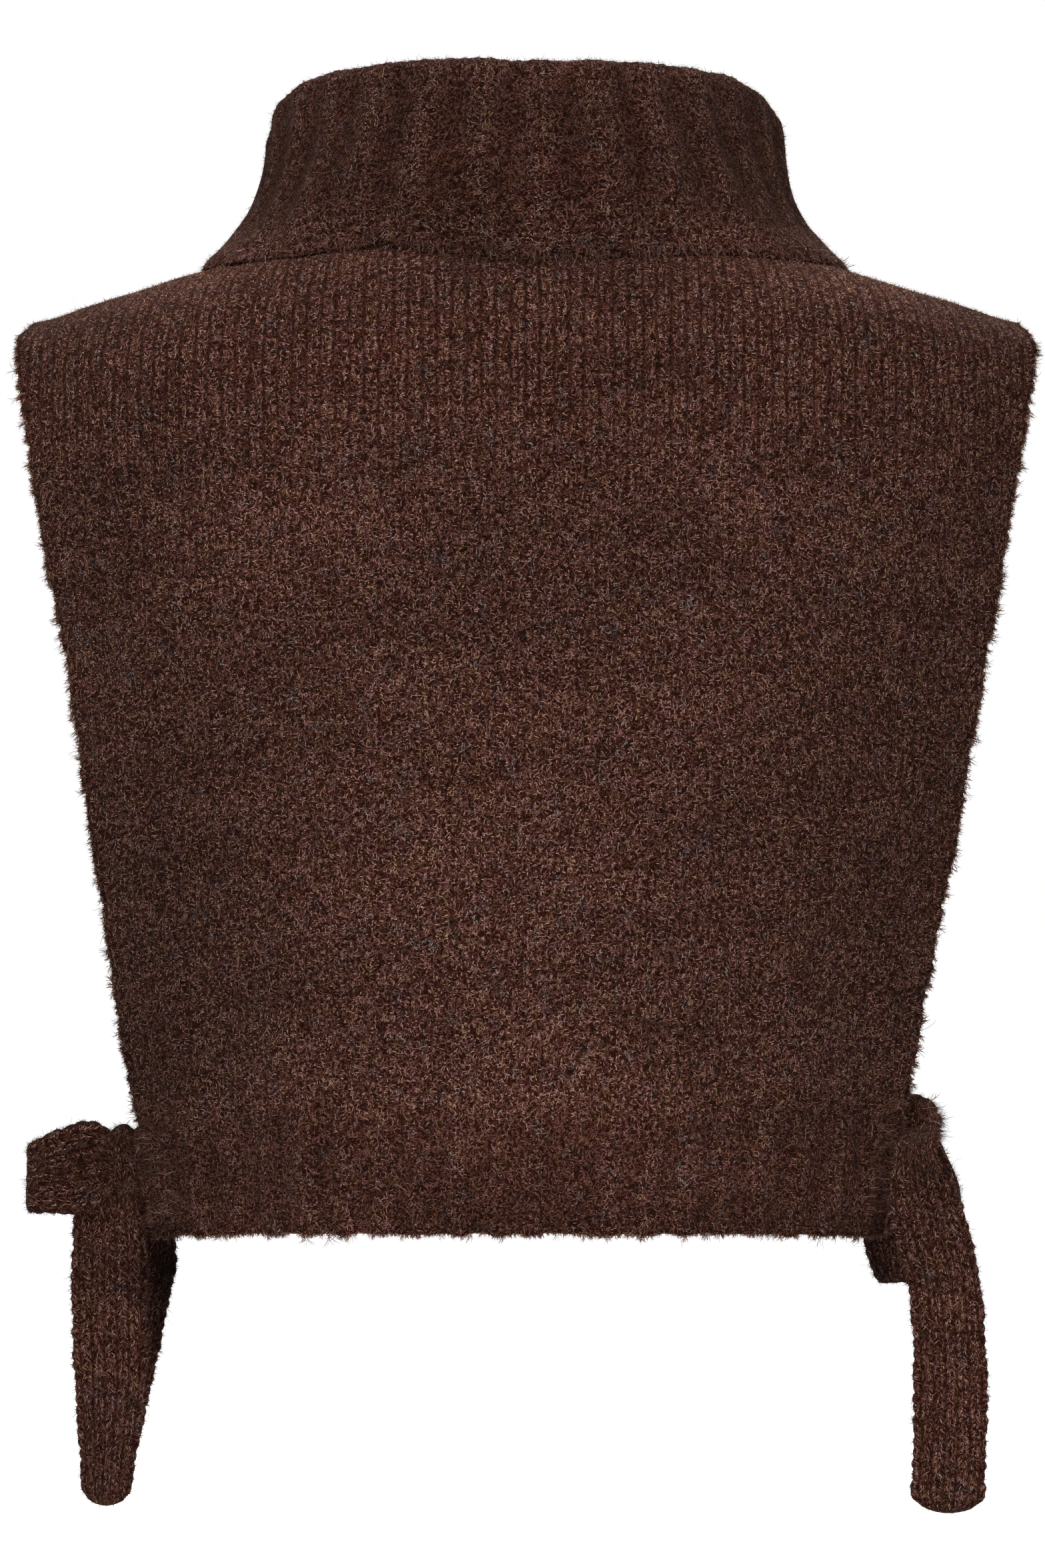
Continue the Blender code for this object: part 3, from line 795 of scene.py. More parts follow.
@dataclass(frozen=True)
class BrushedKnit:
    """Knitted melange wool, brushed so that fine fibres cover the stitches."""

    name: str
    wale: float = WALE
    course: float = COURSE
    stitch_rise: float = 0.9        # relief of the stitches, in millimetres
    fibre_rise: float = 0.40
    spread: float = 2.7
    lean: float = 0.75
    # Painted shade: how much darker the holes between the stitches and the furrows between the wales are.
    gap_dark: float = 0.30
    furrow_dark: float = 0.40
    clear_from: float = 9.0         # how far up from the hem the wales show everywhere
    # Painted shade in the ribs' valleys, through the shade attribute.
    valley_dark: float = 0.15
    wine: Point = (1.16, 0.88, 0.92)
    brown: Point = (1.18, 1.00, 0.79)
    slate: Point = (0.88, 0.98, 1.12)
    strength: float = 1.0
    sheen: float = 0.05

    def colours(self, g: Graph, groups: Groups, place: Any, level: Any) -> Socket:
        """The melange in this finish's own colours.

        Args:
            g: the material's graph.
            groups: the node groups by name.
            place: where on the poncho.
            level: how light the fibre is there.

        Returns:
            The colour.
        """
        yarn = g.add("Group", {
            "Place": place, "Level": level, "Strength": self.strength,
            "Wine": (*self.wine, 1.0), "Brown": (*self.brown, 1.0), "Slate": (*self.slate, 1.0),
        }, node_tree=groups["melange"])
        return yarn.outputs["Color"]

    def shader(self, name: str) -> tuple[Material, Graph, Node]:
        """Starts a material: its graph, and its shader set to soft matt wool.

        Args:
            name: what the material is called.

        Returns:
            The material, its graph and its shader.
        """
        material, g, wool = new_material(name)
        for label, value in (
            ("Roughness", 0.95), ("Specular IOR Level", 0.04), ("Sheen Weight", self.sheen),
            ("Sheen Roughness", 0.5), ("Sheen Tint", (0.70, 0.46, 0.36, 1.0)),
        ):
            wool.inputs[label].default_value = value
        return material, g, wool

    def knit(self, groups: Groups) -> Material:
        """The material of the knitted cloth.

        Args:
            groups: the node groups by name.

        Returns:
            The material.
        """
        material, g, wool = self.shader(self.name)
        flat = g.add("UVMap", uv_map="knit").outputs[0]
        place = g.add("TexCoord").outputs["Object"]
        stitch = g.add("Group", {
            "Place": flat, "Wale": self.wale, "Course": self.course, "Clear From": self.clear_from,
        }, node_tree=groups["stitches"])
        fibre = g.add("Group", {
            "Place": flat, "Wale": self.wale, "Lean": self.lean, "Spread": self.spread,
        }, node_tree=groups["fibres"])
        valley = g.add("Attribute", attribute_name="shade").outputs["Fac"]
        level = fibre.outputs["Level"]
        # Painted shade in the holes between stitches, the furrows between wales and the ribs' valleys.
        for mask, dark in (
            (stitch.outputs["Gap"], self.gap_dark), (stitch.outputs["Furrow"], self.furrow_dark),
            (valley, self.valley_dark),
        ):
            level = g.times(level, g.line(mask, -dark, 1.0))
        g.set(wool.inputs["Base Color"], self.colours(g, groups, place, level))
        height = g.times(stitch.outputs["Height"], self.stitch_rise)
        height = g.line(fibre.outputs["Height"], self.fibre_rise, height)
        bump = g.add("Bump", {"Height": height, "Distance": 0.001, "Strength": 0.9})
        g.set(wool.inputs["Normal"], bump.outputs[0])
        return material

    def hair(self, groups: Groups) -> Material:
        """The material of the loose fibres that stand off the cloth.

        Args:
            groups: the node groups by name.

        Returns:
            The material.
        """
        material, g, wool = self.shader(f"{self.name}_hair")
        own = g.add("SeparateXYZ", {0: g.add("UVMap", uv_map="knit").outputs[0]}).outputs[0]
        level = g.line(g.math("POWER", own, 1.6), 0.62, 0.28)
        g.set(wool.inputs["Base Color"], self.colours(g, groups, g.add("TexCoord").outputs["Object"], level))
        return material


# --------------------------------------------------------------------------- the panels


@dataclass(frozen=True)
class Fold:
    """A soft trough in the hanging cloth."""

    x: float
    z_top: float
    z_low: float
    lean: float
    width: float
    depth: float


@dataclass(frozen=True)
class Outline:
    """How the panels lie over the shoulders, seen from the back; the same for both."""

    body_half: float = 0.2335
    tip_round: float = 0.0095
    tip_top: float = -0.0245
    tip_low: float = -0.042
    half_widths: tuple[tuple[float, float], ...] = (
        (-0.040, 0.2335), (-0.062, 0.2306), (-0.124, 0.2209), (-0.186, 0.2094),
        (-0.248, 0.2007), (-0.310, 0.1902), (-0.372, 0.1795), (-0.443, 0.1680),
    )
    lean_from: float = -0.250
    lean: float = 0.0028
    neck_half: float = 0.088
    neck_side_z: float = 0.0108
    slope: float = 0.272
    slope_from: float = 0.095
    side_bend: float = 2.2
    rib_top_z: float = -0.378
    hem_z: float = -0.443
    hem_drop: float = 0.0055
    hem_ribs: int = 20
    hem_rib_rise: float = 0.0013
    rib_phase: float = 0.75         # where the first rib's top lies, in half ribs

    def top(self, x: Any) -> Any:
        """Height of the shoulder line above x.

        Args:
            x: how far to the right of the middle.

        Returns:
            The heights.
        """
        x = np.abs(x)
        straight = self.neck_side_z - self.slope * (x - self.slope_from)
        level = self.neck_side_z + self.slope / (2 * self.slope_from) * (self.slope_from**2 - x * x)
        return np.where(x > self.slope_from, straight, level)

    def across(self, u: Any, z: Any) -> Any:
        """x of the column u, from -1 to 1, at a height z.

        Args:
            u: the columns, from -1 at the left to 1 at the right.
            z: the heights.

        Returns:
            x of each place.
        """
        half = np.interp(-z, [-row[0] for row in self.half_widths], [row[1] for row in self.half_widths])
        turned = np.clip((z - self.tip_low) / (self.tip_top - self.tip_low), 0.0, 1.0)
        tip = np.copysign(self.tip_round * turned**2 * np.abs(u) ** 8, u)
        return u * half - tip - self.lean * smooth_step((self.lean_from - z) / 0.12)

    def hang(self, u: Any) -> Any:
        """How much lower the column u ends than the middle of the hem."""
        return self.hem_drop * np.abs(u) ** self.side_bend

    def column_at(self, c: Any, share: Any) -> Any:
        """u of the column c: set by the neckline at share 0 and by the hem's ribs at share 1.

        Args:
            c: the columns' numbers, counted in half ribs from the left.
            share: how far each place is on the way from the neckline to the hem's ribs.

        Returns:
            u of each place, from -1 to 1.
        """
        even = c / self.hem_ribs - 1
        neck, half = self.neck_half / self.body_half, self.hem_ribs / 2
        steps = np.abs(c - self.hem_ribs)
        near = neck * np.sin(np.pi / 2 * np.minimum(steps, half) / half)
        drawn = np.where(steps <= half, near, neck + (1 - neck) * (steps - half) / half)
        return even + (np.copysign(drawn, even) - even) * (1 - share)


OUTLINE = Outline()


@dataclass
class Panel:
    """One panel, plain knit with a ribbed hem, from the neckline and shoulders to the hem."""

    name: str
    facing: int
    neck_depth: float
    cap_centre: float
    round_centre: float
    depths: tuple[Point, ...]
    folds: tuple[Fold, ...]
    flat: tuple[float, float]
    hairs: int
    cap_tip: float = 0.055
    round_tip: float = 2.6
    ribs_fade: float = 0.024        # the hem's ribs rise over this height
    cap_share: float = 6 / 14       # how much of its columns' way to the ribs lies over the shoulder
    cap_rows: int = 44
    fall_rows: int = 118
    rib_rows: int = 28
    columns: int = 200
    fine_rise: float = 0.00045      # unevenness all over, and how far apart its hills are
    fine_cell: float = 0.018
    slow_rise: float = 0.0011
    slow_cell: float = 0.055
    side_knob: float = 0.0009       # how far the side stitches stand out
    side_cell: float = 0.006
    hem_scallop: float = 0.0004
    hem_wander: float = 0.0008
    seam_rows: int = 8              # rows over which the relief rises from the shoulder seam
    hem_run: float = 0.33           # lengths by which the edges' fibres are counted
    side_run: float = 0.40
    shape: Outline = OUTLINE
    places: Array | None = None     # its surface, once it is built

    def cap(self, u: Any) -> tuple[Any, Any]:
        """(drop, roundness) of the column u where it turns over the shoulder.

        Args:
            u: the columns.

        Returns:
            How far each falls on its way over the shoulder, and the power of its roundness.
        """
        towards_neck = (1 - np.minimum(np.abs(u), 1.0) ** 2) ** 3
        drop = self.cap_tip + (self.cap_centre - self.cap_tip) * towards_neck
        return drop, self.round_tip + (self.round_centre - self.round_tip) * towards_neck

    def depth_at(self, u: Any, z: Any) -> Any:
        """How far the panel hangs from the shoulder line, without its folds.

        Args:
            u, z: the columns and heights.

        Returns:
            The depths.
        """
        heights = [-row[0] for row in self.depths]
        centre = np.interp(-z, heights, [row[1] for row in self.depths])
        edge = np.interp(-z, heights, [row[2] for row in self.depths])
        return edge + (centre - edge) * (1 - np.abs(u) ** self.shape.side_bend)

    def folded(self, x: Any, z: Any) -> Any:
        """Depth of the soft troughs, negative into the cloth.

        Args:
            x, z: the places.

        Returns:
            The troughs' depths there.
        """
        relief = np.zeros(np.broadcast(x, z).shape)
        for fold in self.folds:
            along = (fold.z_top - z) / (fold.z_top - fold.z_low)
            middle = fold.x - fold.lean * (fold.z_top - z) * math.copysign(1, fold.x)
            strength = smooth_step(2.2 * along) * smooth_step(5 * (1.25 - along)) * (along > 0)
            relief = relief - fold.depth * strength * np.exp(-(((x - middle) / fold.width) ** 2))
        return relief

    def hung(self, u: Any, z: Any) -> Array:
        """Points of the outside at the columns u and heights z.

        Args:
            u, z: the columns and heights.

        Returns:
            The points.
        """
        drop, roundness = self.cap(u)
        lift = np.clip((z - self.shape.top(u * self.shape.body_half) + drop) / drop, 0.0, 1.0)
        return self.placed(u, z, (1 - lift**roundness) ** (1 / roundness))

    def placed(self, u: Any, z: Any, out: Any) -> Array:
        """Points of the outside, out being the share of the full depth.

        Args:
            u, z: the columns and heights.
            out: how much of the full depth each place has.

        Returns:
            The points.
        """
        x = self.shape.across(u, z)
        y = self.facing * out * (self.depth_at(u, z) + self.folded(x, z) * (1 - np.abs(u) ** 8))
        return np.stack(np.broadcast_arrays(x, y, z), axis=-1)

    def first_turn(self, u: Any) -> Any:
        """The turn at which the column u starts, at the neckline or the shoulder seam.

        Args:
            u: the columns.

        Returns:
            The turns, in radians.
        """
        _, roundness = self.cap(u)
        inside = np.maximum(0.0, 1 - (u * self.shape.body_half / self.shape.neck_half) ** 2)
        start = np.maximum(self.neck_depth * inside**0.5, 0.00021)
        return np.arcsin((start / self.depth_at(u, 0.0)) ** (roundness / 2))

    def surface(self) -> tuple[Array, Array]:
        """The plain outside, without its relief.

        Returns:
            Its points, and each row's rib strength, which is 0 above the hem's ribs.
        """
        shape = self.shape
        c = np.linspace(0, 2 * shape.hem_ribs, self.columns + 1)[None, :]
        r = np.linspace(0, 1, self.cap_rows + 1)[:, None]
        u = shape.column_at(c, r * self.cap_share)
        start = self.first_turn(u)
        turn = start + (np.pi / 2 - start) * r
        drop, roundness = self.cap(u)
        top = shape.top(u * shape.body_half)
        z = top - drop + drop * np.maximum(0.0, np.cos(turn)) ** (2 / roundness)
        over = self.placed(u, z, np.sin(turn) ** (2 / roundness))

        r = np.linspace(0, 1, self.fall_rows + 1)[1:, None]
        u = shape.column_at(c, self.cap_share + (1 - self.cap_share) * r)
        top = shape.top(u * shape.body_half) - self.cap(u)[0]
        low = shape.rib_top_z - shape.hang(u)
        fall = self.hung(u, top + (low - top) * r)

        d = np.linspace(0, shape.hem_z - shape.rib_top_z, self.rib_rows + 1)[1:, None]
        u = c / shape.hem_ribs - 1
        rib = self.hung(u, shape.rib_top_z - shape.hang(u) + d)
        plain = np.zeros(self.cap_rows + self.fall_rows + 1)
        ribbed = np.concatenate([plain, smooth_step(-d[:, 0] / self.ribs_fade)])
        return np.concatenate([over, fall, rib]), ribbed

    def build(self, material: Material) -> Piece:
        """Makes the panel.

        Args:
            material: its knit.

        Returns:
            The piece, ready to ride.
        """
        plain, ribbed = self.surface()
        normals = grid_normals(plain) * self.facing
        seam = np.abs(plain[0, :, 0]) >= self.shape.neck_half * 0.999
        normals[0, seam, 1] = 0.0
        normals[-1, :, 2] = 0.0
        normals = unit(normals)
        up = lengths_along(plain[::-1])[::-1]
        side = lengths_along(plain, 1)
        side = side - side[:, self.columns // 2][:, None]
        coords = np.stack([side + 60 * WALE, up], axis=-1)

        c = np.linspace(0, 2 * self.shape.hem_ribs, self.columns + 1)
        rib = 0.5 + 0.5 * np.cos(np.pi * (c - self.shape.rib_phase))
        rib = rib * (0.75 + 0.4 * wander(c, 0 * c, 1.7, 3))
        rise = self.shape.hem_rib_rise * ribbed[:, None] * rib[None, :]
        rise = rise + self.fine_rise * wander(coords[..., 0], up, self.fine_cell, 11 + self.facing)
        rise = rise + self.slow_rise * wander(coords[..., 0], up, self.slow_cell, 21 + self.facing)
        taper = smooth_step(np.minimum(np.arange(len(plain)), self.seam_rows) / self.seam_rows)[:, None]
        raised = plain + (rise * taper)[..., None] * normals
        raised = self.knobbly(raised, up)
        inside = (plain - KNIT * normals)[::2, ::2]
        self.places = raised
        # Painted shade in the hem ribs' valleys.
        shade = ribbed[:, None] * np.clip(1.1 - rib, 0, 1)[None, :] ** 1.5
        return Cloth(f"{self.name}_panel_knit", raised, inside, coords, shade=shade).build(material)

    def knobbly(self, points: Array, up: Array) -> Array:
        """Moves the side edges and the hem out and in, a stitch at a time.

        Args:
            points: the panel's outside.
            up: how far each point is above the hem.

        Returns:
            The same points, moved.
        """
        last = self.columns
        for edge, way in ((0, -1.0), (last, 1.0)):
            knob = np.abs(np.sin(np.pi * up[:, edge] / (1.5 * COURSE)))
            knob = knob + wander(up[:, edge], up[:, edge] * 0, self.side_cell, 31 + edge)
            for step, share in ((0, 1.0), (1, 0.45)):
                points[:, edge + (step if edge == 0 else -step), 0] += way * share * self.side_knob * knob
        c = np.linspace(0, 2 * self.shape.hem_ribs, last + 1)
        scallop = self.hem_scallop * np.cos(np.pi * (c - self.shape.rib_phase))
        scallop = scallop + self.hem_wander * wander(c, c * 0, 0.55, 41)
        points[-1, :, 2] -= scallop
        points[-2, :, 2] -= 0.5 * scallop
        return points

    def dress(self, hair: Material, rim: Material) -> list[Piece]:
        """Grows the loose fibres.

        Args:
            hair: the finish of those all over the panel.
            rim: the finish of those on the shoulders and along the edges, which catch the light: a lighter,
            warmer copy of the wool, as painted highlight.

        Returns:
            The pieces.
        """
        shape, name, seed = self.places.shape[:2], self.name, self.facing
        z = self.places[..., 2]
        every, top, by_tie = (np.zeros(shape) for _ in range(3))
        every[:] = 1.0
        top[: self.cap_rows // 2] = 1.0
        by_tie[:, :9] = by_tie[:, -9:] = 1.0
        by_tie *= (z < -0.385) & (z > -0.438)
        low = 0.25 + smooth_step((-0.15 - z) / 0.2)
        out = np.zeros((*shape, 3)) + np.copysign(1.0, self.places[..., :1]) * (1.0, 0.0, 0.0)
        grown = [
            (Fuzz(f"{name}_panel_fibres", self.hairs, seed=3 + seed), every, None, hair),
            (Fuzz(f"{name}_stray_fibres", 900, 0.006, 0.015, 0.00017, 5, seed=93 + seed), low, None, hair),
            (Fuzz(f"{name}_shoulder_fibres", 8000, 0.0014, 0.0036, 0.0003, 2, Lay.RUFFLED, 17 + seed),
             top, None, rim),
            (Fuzz(f"{name}_corner_tufts", 1600, 0.004, 0.010, 0.00024, 3, seed=77 + seed, clump=3),
             by_tie, out, hair),
        ]
        pieces = [
            fuzz.grow(self.places, weights, float(self.facing), material, towards=towards)
            for fuzz, weights, towards, material in grown
        ]
        lips = []
        for lip, near, way, length in (
            (self.places[-1], self.places[-2], (0.0, 0.1 * self.facing, -1.0), self.hem_run),
            (self.places[:, 0], self.places[:, 1], (-1.0, 0.0, -0.75), self.side_run),
            (self.places[:, -1], self.places[:, -2], (1.0, 0.0, -0.75), self.side_run),
        ):
            strip = np.stack([lip + 0.35 * (near - lip), lip])
            towards = np.zeros(strip.shape) + way
            number = len(lips)
            for kind, a_metre, short, long, width, bends, clump, own in (
                ("fringe", 13000, 0.0010, 0.0038, 0.00030, 2, 2, 7),
                ("tufts", 4200, 0.0020, 0.0060, 0.00034, 3, 8, 47),
                ("wisps", 300, 0.0040, 0.0095, 0.00024, 4, 7, 87),
            ):
                count = int(length * a_metre)
                fuzz = Fuzz(kind, count, short, long, width, bends, seed=own + seed + number, clump=clump)
                root, normal, wale, toward = fuzz.roots(strip, np.ones(strip.shape[:2]), False, towards)
                normal = normal * np.copysign(1.0, normal[:, 1:2] * self.facing)
                lips.append(fuzz.strands(root, normal, wale, toward))
        return [*pieces, strands_object(f"{name}_edge_fibres", lips, rim)]


@dataclass
class ShoulderSeam:
    """The seam along one shoulder: overcast stitches that fill the join and stand a little proud."""

    side: str
    half_wide: float = 0.0011
    half_high: float = 0.0021
    sunk: float = 0.0015            # its middle, below the shoulder line
    points_round: int = 12
    step: float = 0.0011

    def build(self, back: Panel, front: Panel, material: Material) -> Piece:
        """Makes the seam.

        Args:
            back, front: the panels that it joins, already built.
            material: their knit.

        Returns:
            The piece.
        """
        way = -1.0 if self.side == "left" else 1.0
        path = (back.places[0] + front.places[0]) / 2
        path = path[path[:, 0] * way > OUTLINE.neck_half]
        path = path[np.argsort(path[:, 0] * way)]
        run = lengths_along(path)
        along = np.arange(0.0, run[-1] - 0.0004, self.step)
        places = np.stack([np.interp(along, run, path[:, k]) for k in range(3)], -1)
        ways = unit(np.gradient(places, axis=0))
        over = unit(np.cross(ways, (0.0, way, 0.0)))
        turn = np.linspace(0, 2 * np.pi, self.points_round, endpoint=False)
        twist = 1 + 0.16 * np.cos(turn + 2 * np.pi * along[:, None] / COURSE)
        twist = twist * (1 + 0.12 * wander(along[:, None] + way, turn + 9, 0.009, 81))
        beside = (self.half_wide * twist * np.cos(turn))[..., None] * (0.0, 1.0, 0.0)
        above = (self.half_high * twist * np.sin(turn) - self.sunk)[..., None] * over[:, None]
        rings = places[:, None] + beside + above
        coords = np.stack(np.broadcast_arrays(turn * self.half_high + 0.9, along[:, None]), -1)
        return closed_tube(f"shoulder_seam_{self.side}", rings, coords, material, 2 * np.pi * self.half_high)


# --------------------------------------------------------------------------- the collar


@dataclass
class Collar:
    """The roll collar: one ribbed tube turned down over itself, its free edge on the shoulders."""

    back: Panel
    front: Panel
    ribs: int = 29
    rib_rise: float = 0.0019
    edge_wander: float = 0.011
    fold_half: float = 0.1138
    fold_back: float = 0.0930
    fold_front: float = 0.0860
    fold_z_back: float = 0.0790
    fold_z_side: float = 0.0440
    fold_z_front: float = 0.0120
    seam_sunk: float = 0.001        # how far below the panels' outside it starts
    seam_in: float = 0.0040
    seam_in_front: float = 0.0062
    fold_tilt: float = 2.3
    fold_radius: float = 0.0045
    edge_half: float = 0.150
    edge_back: float = 0.094
    edge_front: float = 0.099
    edge_lift: float = 0.0004
    edge_drawn_up: float = 0.050    # how far its free edge is pulled up towards the neck at one place
    lift_at: float = -0.46
    lift_width: float = 0.26
    edge_z_front: float = -0.066
    edge_rise: float = 0.097
    bulge: float = 0.0045
    inner_rows: int = 18
    turn_rows: int = 10
    outer_rows: int = 38
    columns_a_rib: int = 12
    narrower: float = 0.93          # its stitches, as a share of the panels'
    fold_rows: float = 7.0          # how far the fold calms the ribs, and by what share
    fold_calm: float = 0.74
    edge_rows: int = 16
    edge_thin: Point = (0.0013, 0.0006, -0.0008)    # its outside over its middle, in the last three rows
    slow_rise: float = 0.0011
    fine_rise: float = 0.0004
    fold_stitch: float = 0.0007
    flat: tuple[float, float] = (0.68, 0.17)
    hairs: int = 28000
    places: Array | None = None     # its surface, once it is built

    def under(self, x: Array, y: Array) -> Array:
        """Height of the panels' outside below the places x, y near the neck.

        Args:
            x, y: the places.

        Returns:
            The heights.
        """
        found = np.zeros_like(x)
        for panel, mine in ((self.back, y < 0), (self.front, y >= 0)):
            u = x / OUTLINE.body_half
            top = OUTLINE.top(x)
            drop, roundness = panel.cap(u)
            z = np.zeros_like(x)
            for _ in range(6):
                out = np.minimum(0.999, np.abs(y) / panel.depth_at(u, z))
                z = top - drop + drop * (1 - out**roundness) ** (1 / roundness)
            found = np.where(mine, z, found)
        return found

    def above(self, x: Array, y: Array, lift: float) -> Array:
        """Places at a distance lift from the panels' outside, off x, y.

        Args:
            x, y: the places.
            lift: how far off the panels they are.

        Returns:
            The points.
        """
        step = 0.001
        slope_x = (self.under(x + step, y) - self.under(x - step, y)) / (2 * step)
        slope_y = (self.under(x, y + step) - self.under(x, y - step)) / (2 * step)
        normal = unit(np.stack([-slope_x, -slope_y, np.ones_like(x)], -1))
        return np.stack([x, y, self.under(x, y)], -1) + lift * normal

    @staticmethod
    def ring(angle: Array, half: float, back: float, front: float) -> tuple[Array, Array]:
        """x, y of an oval round the neck; angle 0 is at the back."""
        return half * np.sin(angle), -np.where(np.cos(angle) > 0, back, front) * np.cos(angle)

    @staticmethod
    def bezier(a: Array, b: Array, c: Array, d: Array, shares: Array) -> Array:
        """Rows of points along a curve through the corners a, b, c, d, one row for each share.

        Args:
            a, b, c, d: the corners of each curve.
            shares: how far along it the points are.

        Returns:
            The points, a row for each share.
        """
        s = shares[:, None, None]
        t = 1 - s
        return t**3 * a + 3 * t * t * s * b + 3 * t * s * s * c + s**3 * d

    def middle(self, angle: Array) -> Array:
        """The middle of the collar's cloth at each angle, from the neckline over to the free edge.

        Args:
            angle: the turns round the neck, from the middle of the back.

        Returns:
            The points, a column for each angle.
        """
        flat = np.zeros_like(angle)
        outward = np.stack([np.sin(angle), -np.cos(angle), flat], -1)
        up = np.array([0.0, 0.0, 1.0])
        x, y = self.ring(
            angle, OUTLINE.neck_half - self.seam_in,
            self.back.neck_depth - self.seam_in, self.front.neck_depth - self.seam_in_front,
        )
        seam = np.stack([x, y, self.under(x, y) - self.seam_sunk], -1)
        x, y = self.ring(angle, self.fold_half, self.fold_back, self.fold_front)
        lean = np.tanh(self.fold_tilt * np.cos(angle)) / math.tanh(self.fold_tilt)
        end = np.where(lean > 0, self.fold_z_back, self.fold_z_front)
        fold = np.stack([x, y, self.fold_z_side + (end - self.fold_z_side) * np.abs(lean)], -1)
        x, y = self.ring(angle, self.edge_half, self.edge_back, self.edge_front)
        reach = 1 + self.edge_wander * wander(3 + 0.15 * np.cos(angle), 3 + 0.15 * np.sin(angle), 0.021, 63)
        from_lift = (angle - self.lift_at + np.pi) % (2 * np.pi) - np.pi
        reach = reach - self.edge_drawn_up * np.exp(-((from_lift / self.lift_width) ** 2))
        edge = self.above(x * reach, y * reach, self.edge_lift + KNIT / 2)
        free = smooth_step((-np.cos(angle) - 0.3) / 0.7)
        edge[:, 2] += free * (self.edge_z_front + self.edge_rise * np.sin(angle) ** 2 - edge[:, 2])

        inner_top, outer_top = fold - self.fold_radius * outward, fold + self.fold_radius * outward
        rise = np.linalg.norm(inner_top - seam, axis=-1, keepdims=True)
        shares = np.arange(self.inner_rows) / self.inner_rows
        inner = self.bezier(seam, seam + 0.35 * rise * up, inner_top - 0.35 * rise * up, inner_top, shares)
        turn = (np.pi * np.arange(self.turn_rows + 1) / self.turn_rows)[:, None, None]
        over = fold + self.fold_radius * (-np.cos(turn) * outward + np.sin(turn) * up)
        fall = np.linalg.norm(outer_top - edge, axis=-1, keepdims=True)
        to_side = (np.sin(angle) ** 2)[:, None]
        in_front = np.maximum(0.0, -np.cos(angle))[:, None]
        flare = unit(outward * (1.6 * to_side**2 + 0.3 * in_front) - up)
        bulge = self.bulge * (1 - to_side) * outward
        shares = np.arange(1, self.outer_rows + 1) / self.outer_rows
        outer = self.bezier(
            outer_top, outer_top - 0.42 * fall * up + bulge, edge - 0.45 * fall * flare + bulge, edge, shares
        )
        return np.concatenate([inner, over, outer])

    def build(self, material: Material) -> Piece:
        """Makes the collar.

        Args:
            material: its ribbed knit.

        Returns:
            The piece.
        """
        steps = self.ribs * self.columns_a_rib
        share = (np.arange(steps) + 0.5 * self.columns_a_rib / 4) / steps
        middle = self.middle(2 * np.pi * share)
        normals = grid_normals(middle, ring=True)
        if normals[-1, 0, 1] > 0:
            normals = -normals
        rows = len(middle)
        up = lengths_along(middle)
        around = np.broadcast_to(share * self.ribs * 4 * WALE * self.narrower, (rows, steps))
        coords = np.stack([around, up], axis=-1)

        phase = share * self.ribs - 0.25
        rib = 0.5 + 0.5 * np.cos(2 * np.pi * phase)
        r = np.arange(rows)
        turned = np.exp(-(((r - self.inner_rows - self.turn_rows / 2) / self.fold_rows) ** 2))
        fade = smooth_step(r / 3) * smooth_step((rows - 1 - r) / self.edge_rows)
        fade = fade * (1 - self.fold_calm * turned)
        uneven = 1 + 0.35 * wander(share * 0.72, share * 0, 0.04, 51)
        rise = self.rib_rise * fade[:, None] * (rib * uneven)[None, :]
        angle = 2 * np.pi * share
        slow = wander(np.cos(angle) * 0.1 + 3, np.sin(angle) * 0.1 + up.mean(1)[:, None], 0.030, 61)
        fine = wander(around + 5, up, 0.014, 62)
        seam_free = smooth_step(r / 5)[:, None]
        rise = rise + seam_free * (self.slow_rise * slow + self.fine_rise * fine)
        stitch = np.abs(np.sin(np.pi * around / (WALE * self.narrower)))
        stitch = stitch * (1 + 0.6 * wander(around, up * 0, 0.008, 64))
        rise = rise + self.fold_stitch * turned[:, None] * stitch
        thick = np.full((rows, 1), KNIT / 2)
        thick[-3:, 0] = self.edge_thin
        outer = middle + (thick + rise)[..., None] * normals
        inner = (middle - KNIT / 2 * normals)[::2, ::2]
        self.places, self.outward = outer, 1.0 if self.faces_out(outer) else -1.0
        # Painted shade in the ribs' valleys.
        shade = fade[:, None] * (np.clip(1.05 - rib * uneven, 0, 1) ** 1.3)[None, :]
        return Cloth("collar_knit", outer, inner, coords, ring=True, shade=shade).build(material)

    @staticmethod
    def faces_out(points: Array) -> bool:
        """Whether the grid's own normals already point away from the neck at the free edge."""
        return bool(grid_normals(points, ring=True)[-1, 0, 1] < 0)

    def dress(self, hair: Material, light: Material) -> list[Piece]:
        """Grows the collar's loose fibres.

        Args:
            hair: the finish of those all over it.
            light: the finish of the tufts along its free edge, which lie over the panels.

        Returns:
            The pieces.
        """
        shape = self.places.shape[:2]
        weights = np.ones(shape)
        weights[: self.inner_rows] = 0.45
        lying = Fuzz("collar_fibres", self.hairs, 0.0025, 0.0070, 0.00018, 2, Lay.BRUSHED, 11)
        fold = np.zeros(shape)
        fold[self.inner_rows - 2 : self.inner_rows + self.turn_rows + 5] = 1.0
        standing = Fuzz("collar_fold_fibres", 9000, 0.0012, 0.0032, 0.0003, 2, Lay.RUFFLED, 13)
        edge = np.zeros(shape)
        edge[-4:] = 1.0
        away = unit(self.places * (1.0, 1.0, 0.0))
        towards = unit(0.55 * away + (0.0, 0.0, -1.0))
        tufts = Fuzz("collar_edge_tufts", 6000, 0.0020, 0.0075, 0.00028, 3, seed=14, clump=4)
        return [
            lying.grow(self.places, weights, self.outward, hair, ring=True),
            standing.grow(self.places, fold, self.outward, hair, ring=True),
            tufts.grow(self.places, edge, self.outward, light, ring=True, towards=towards),
        ]


# --------------------------------------------------------------------------- the bows


UP, SIDEWAYS, FORWARD = (0.0, 0.0, 1.0), (1.0, 0.0, 0.0), (0.0, 1.0, 0.0)


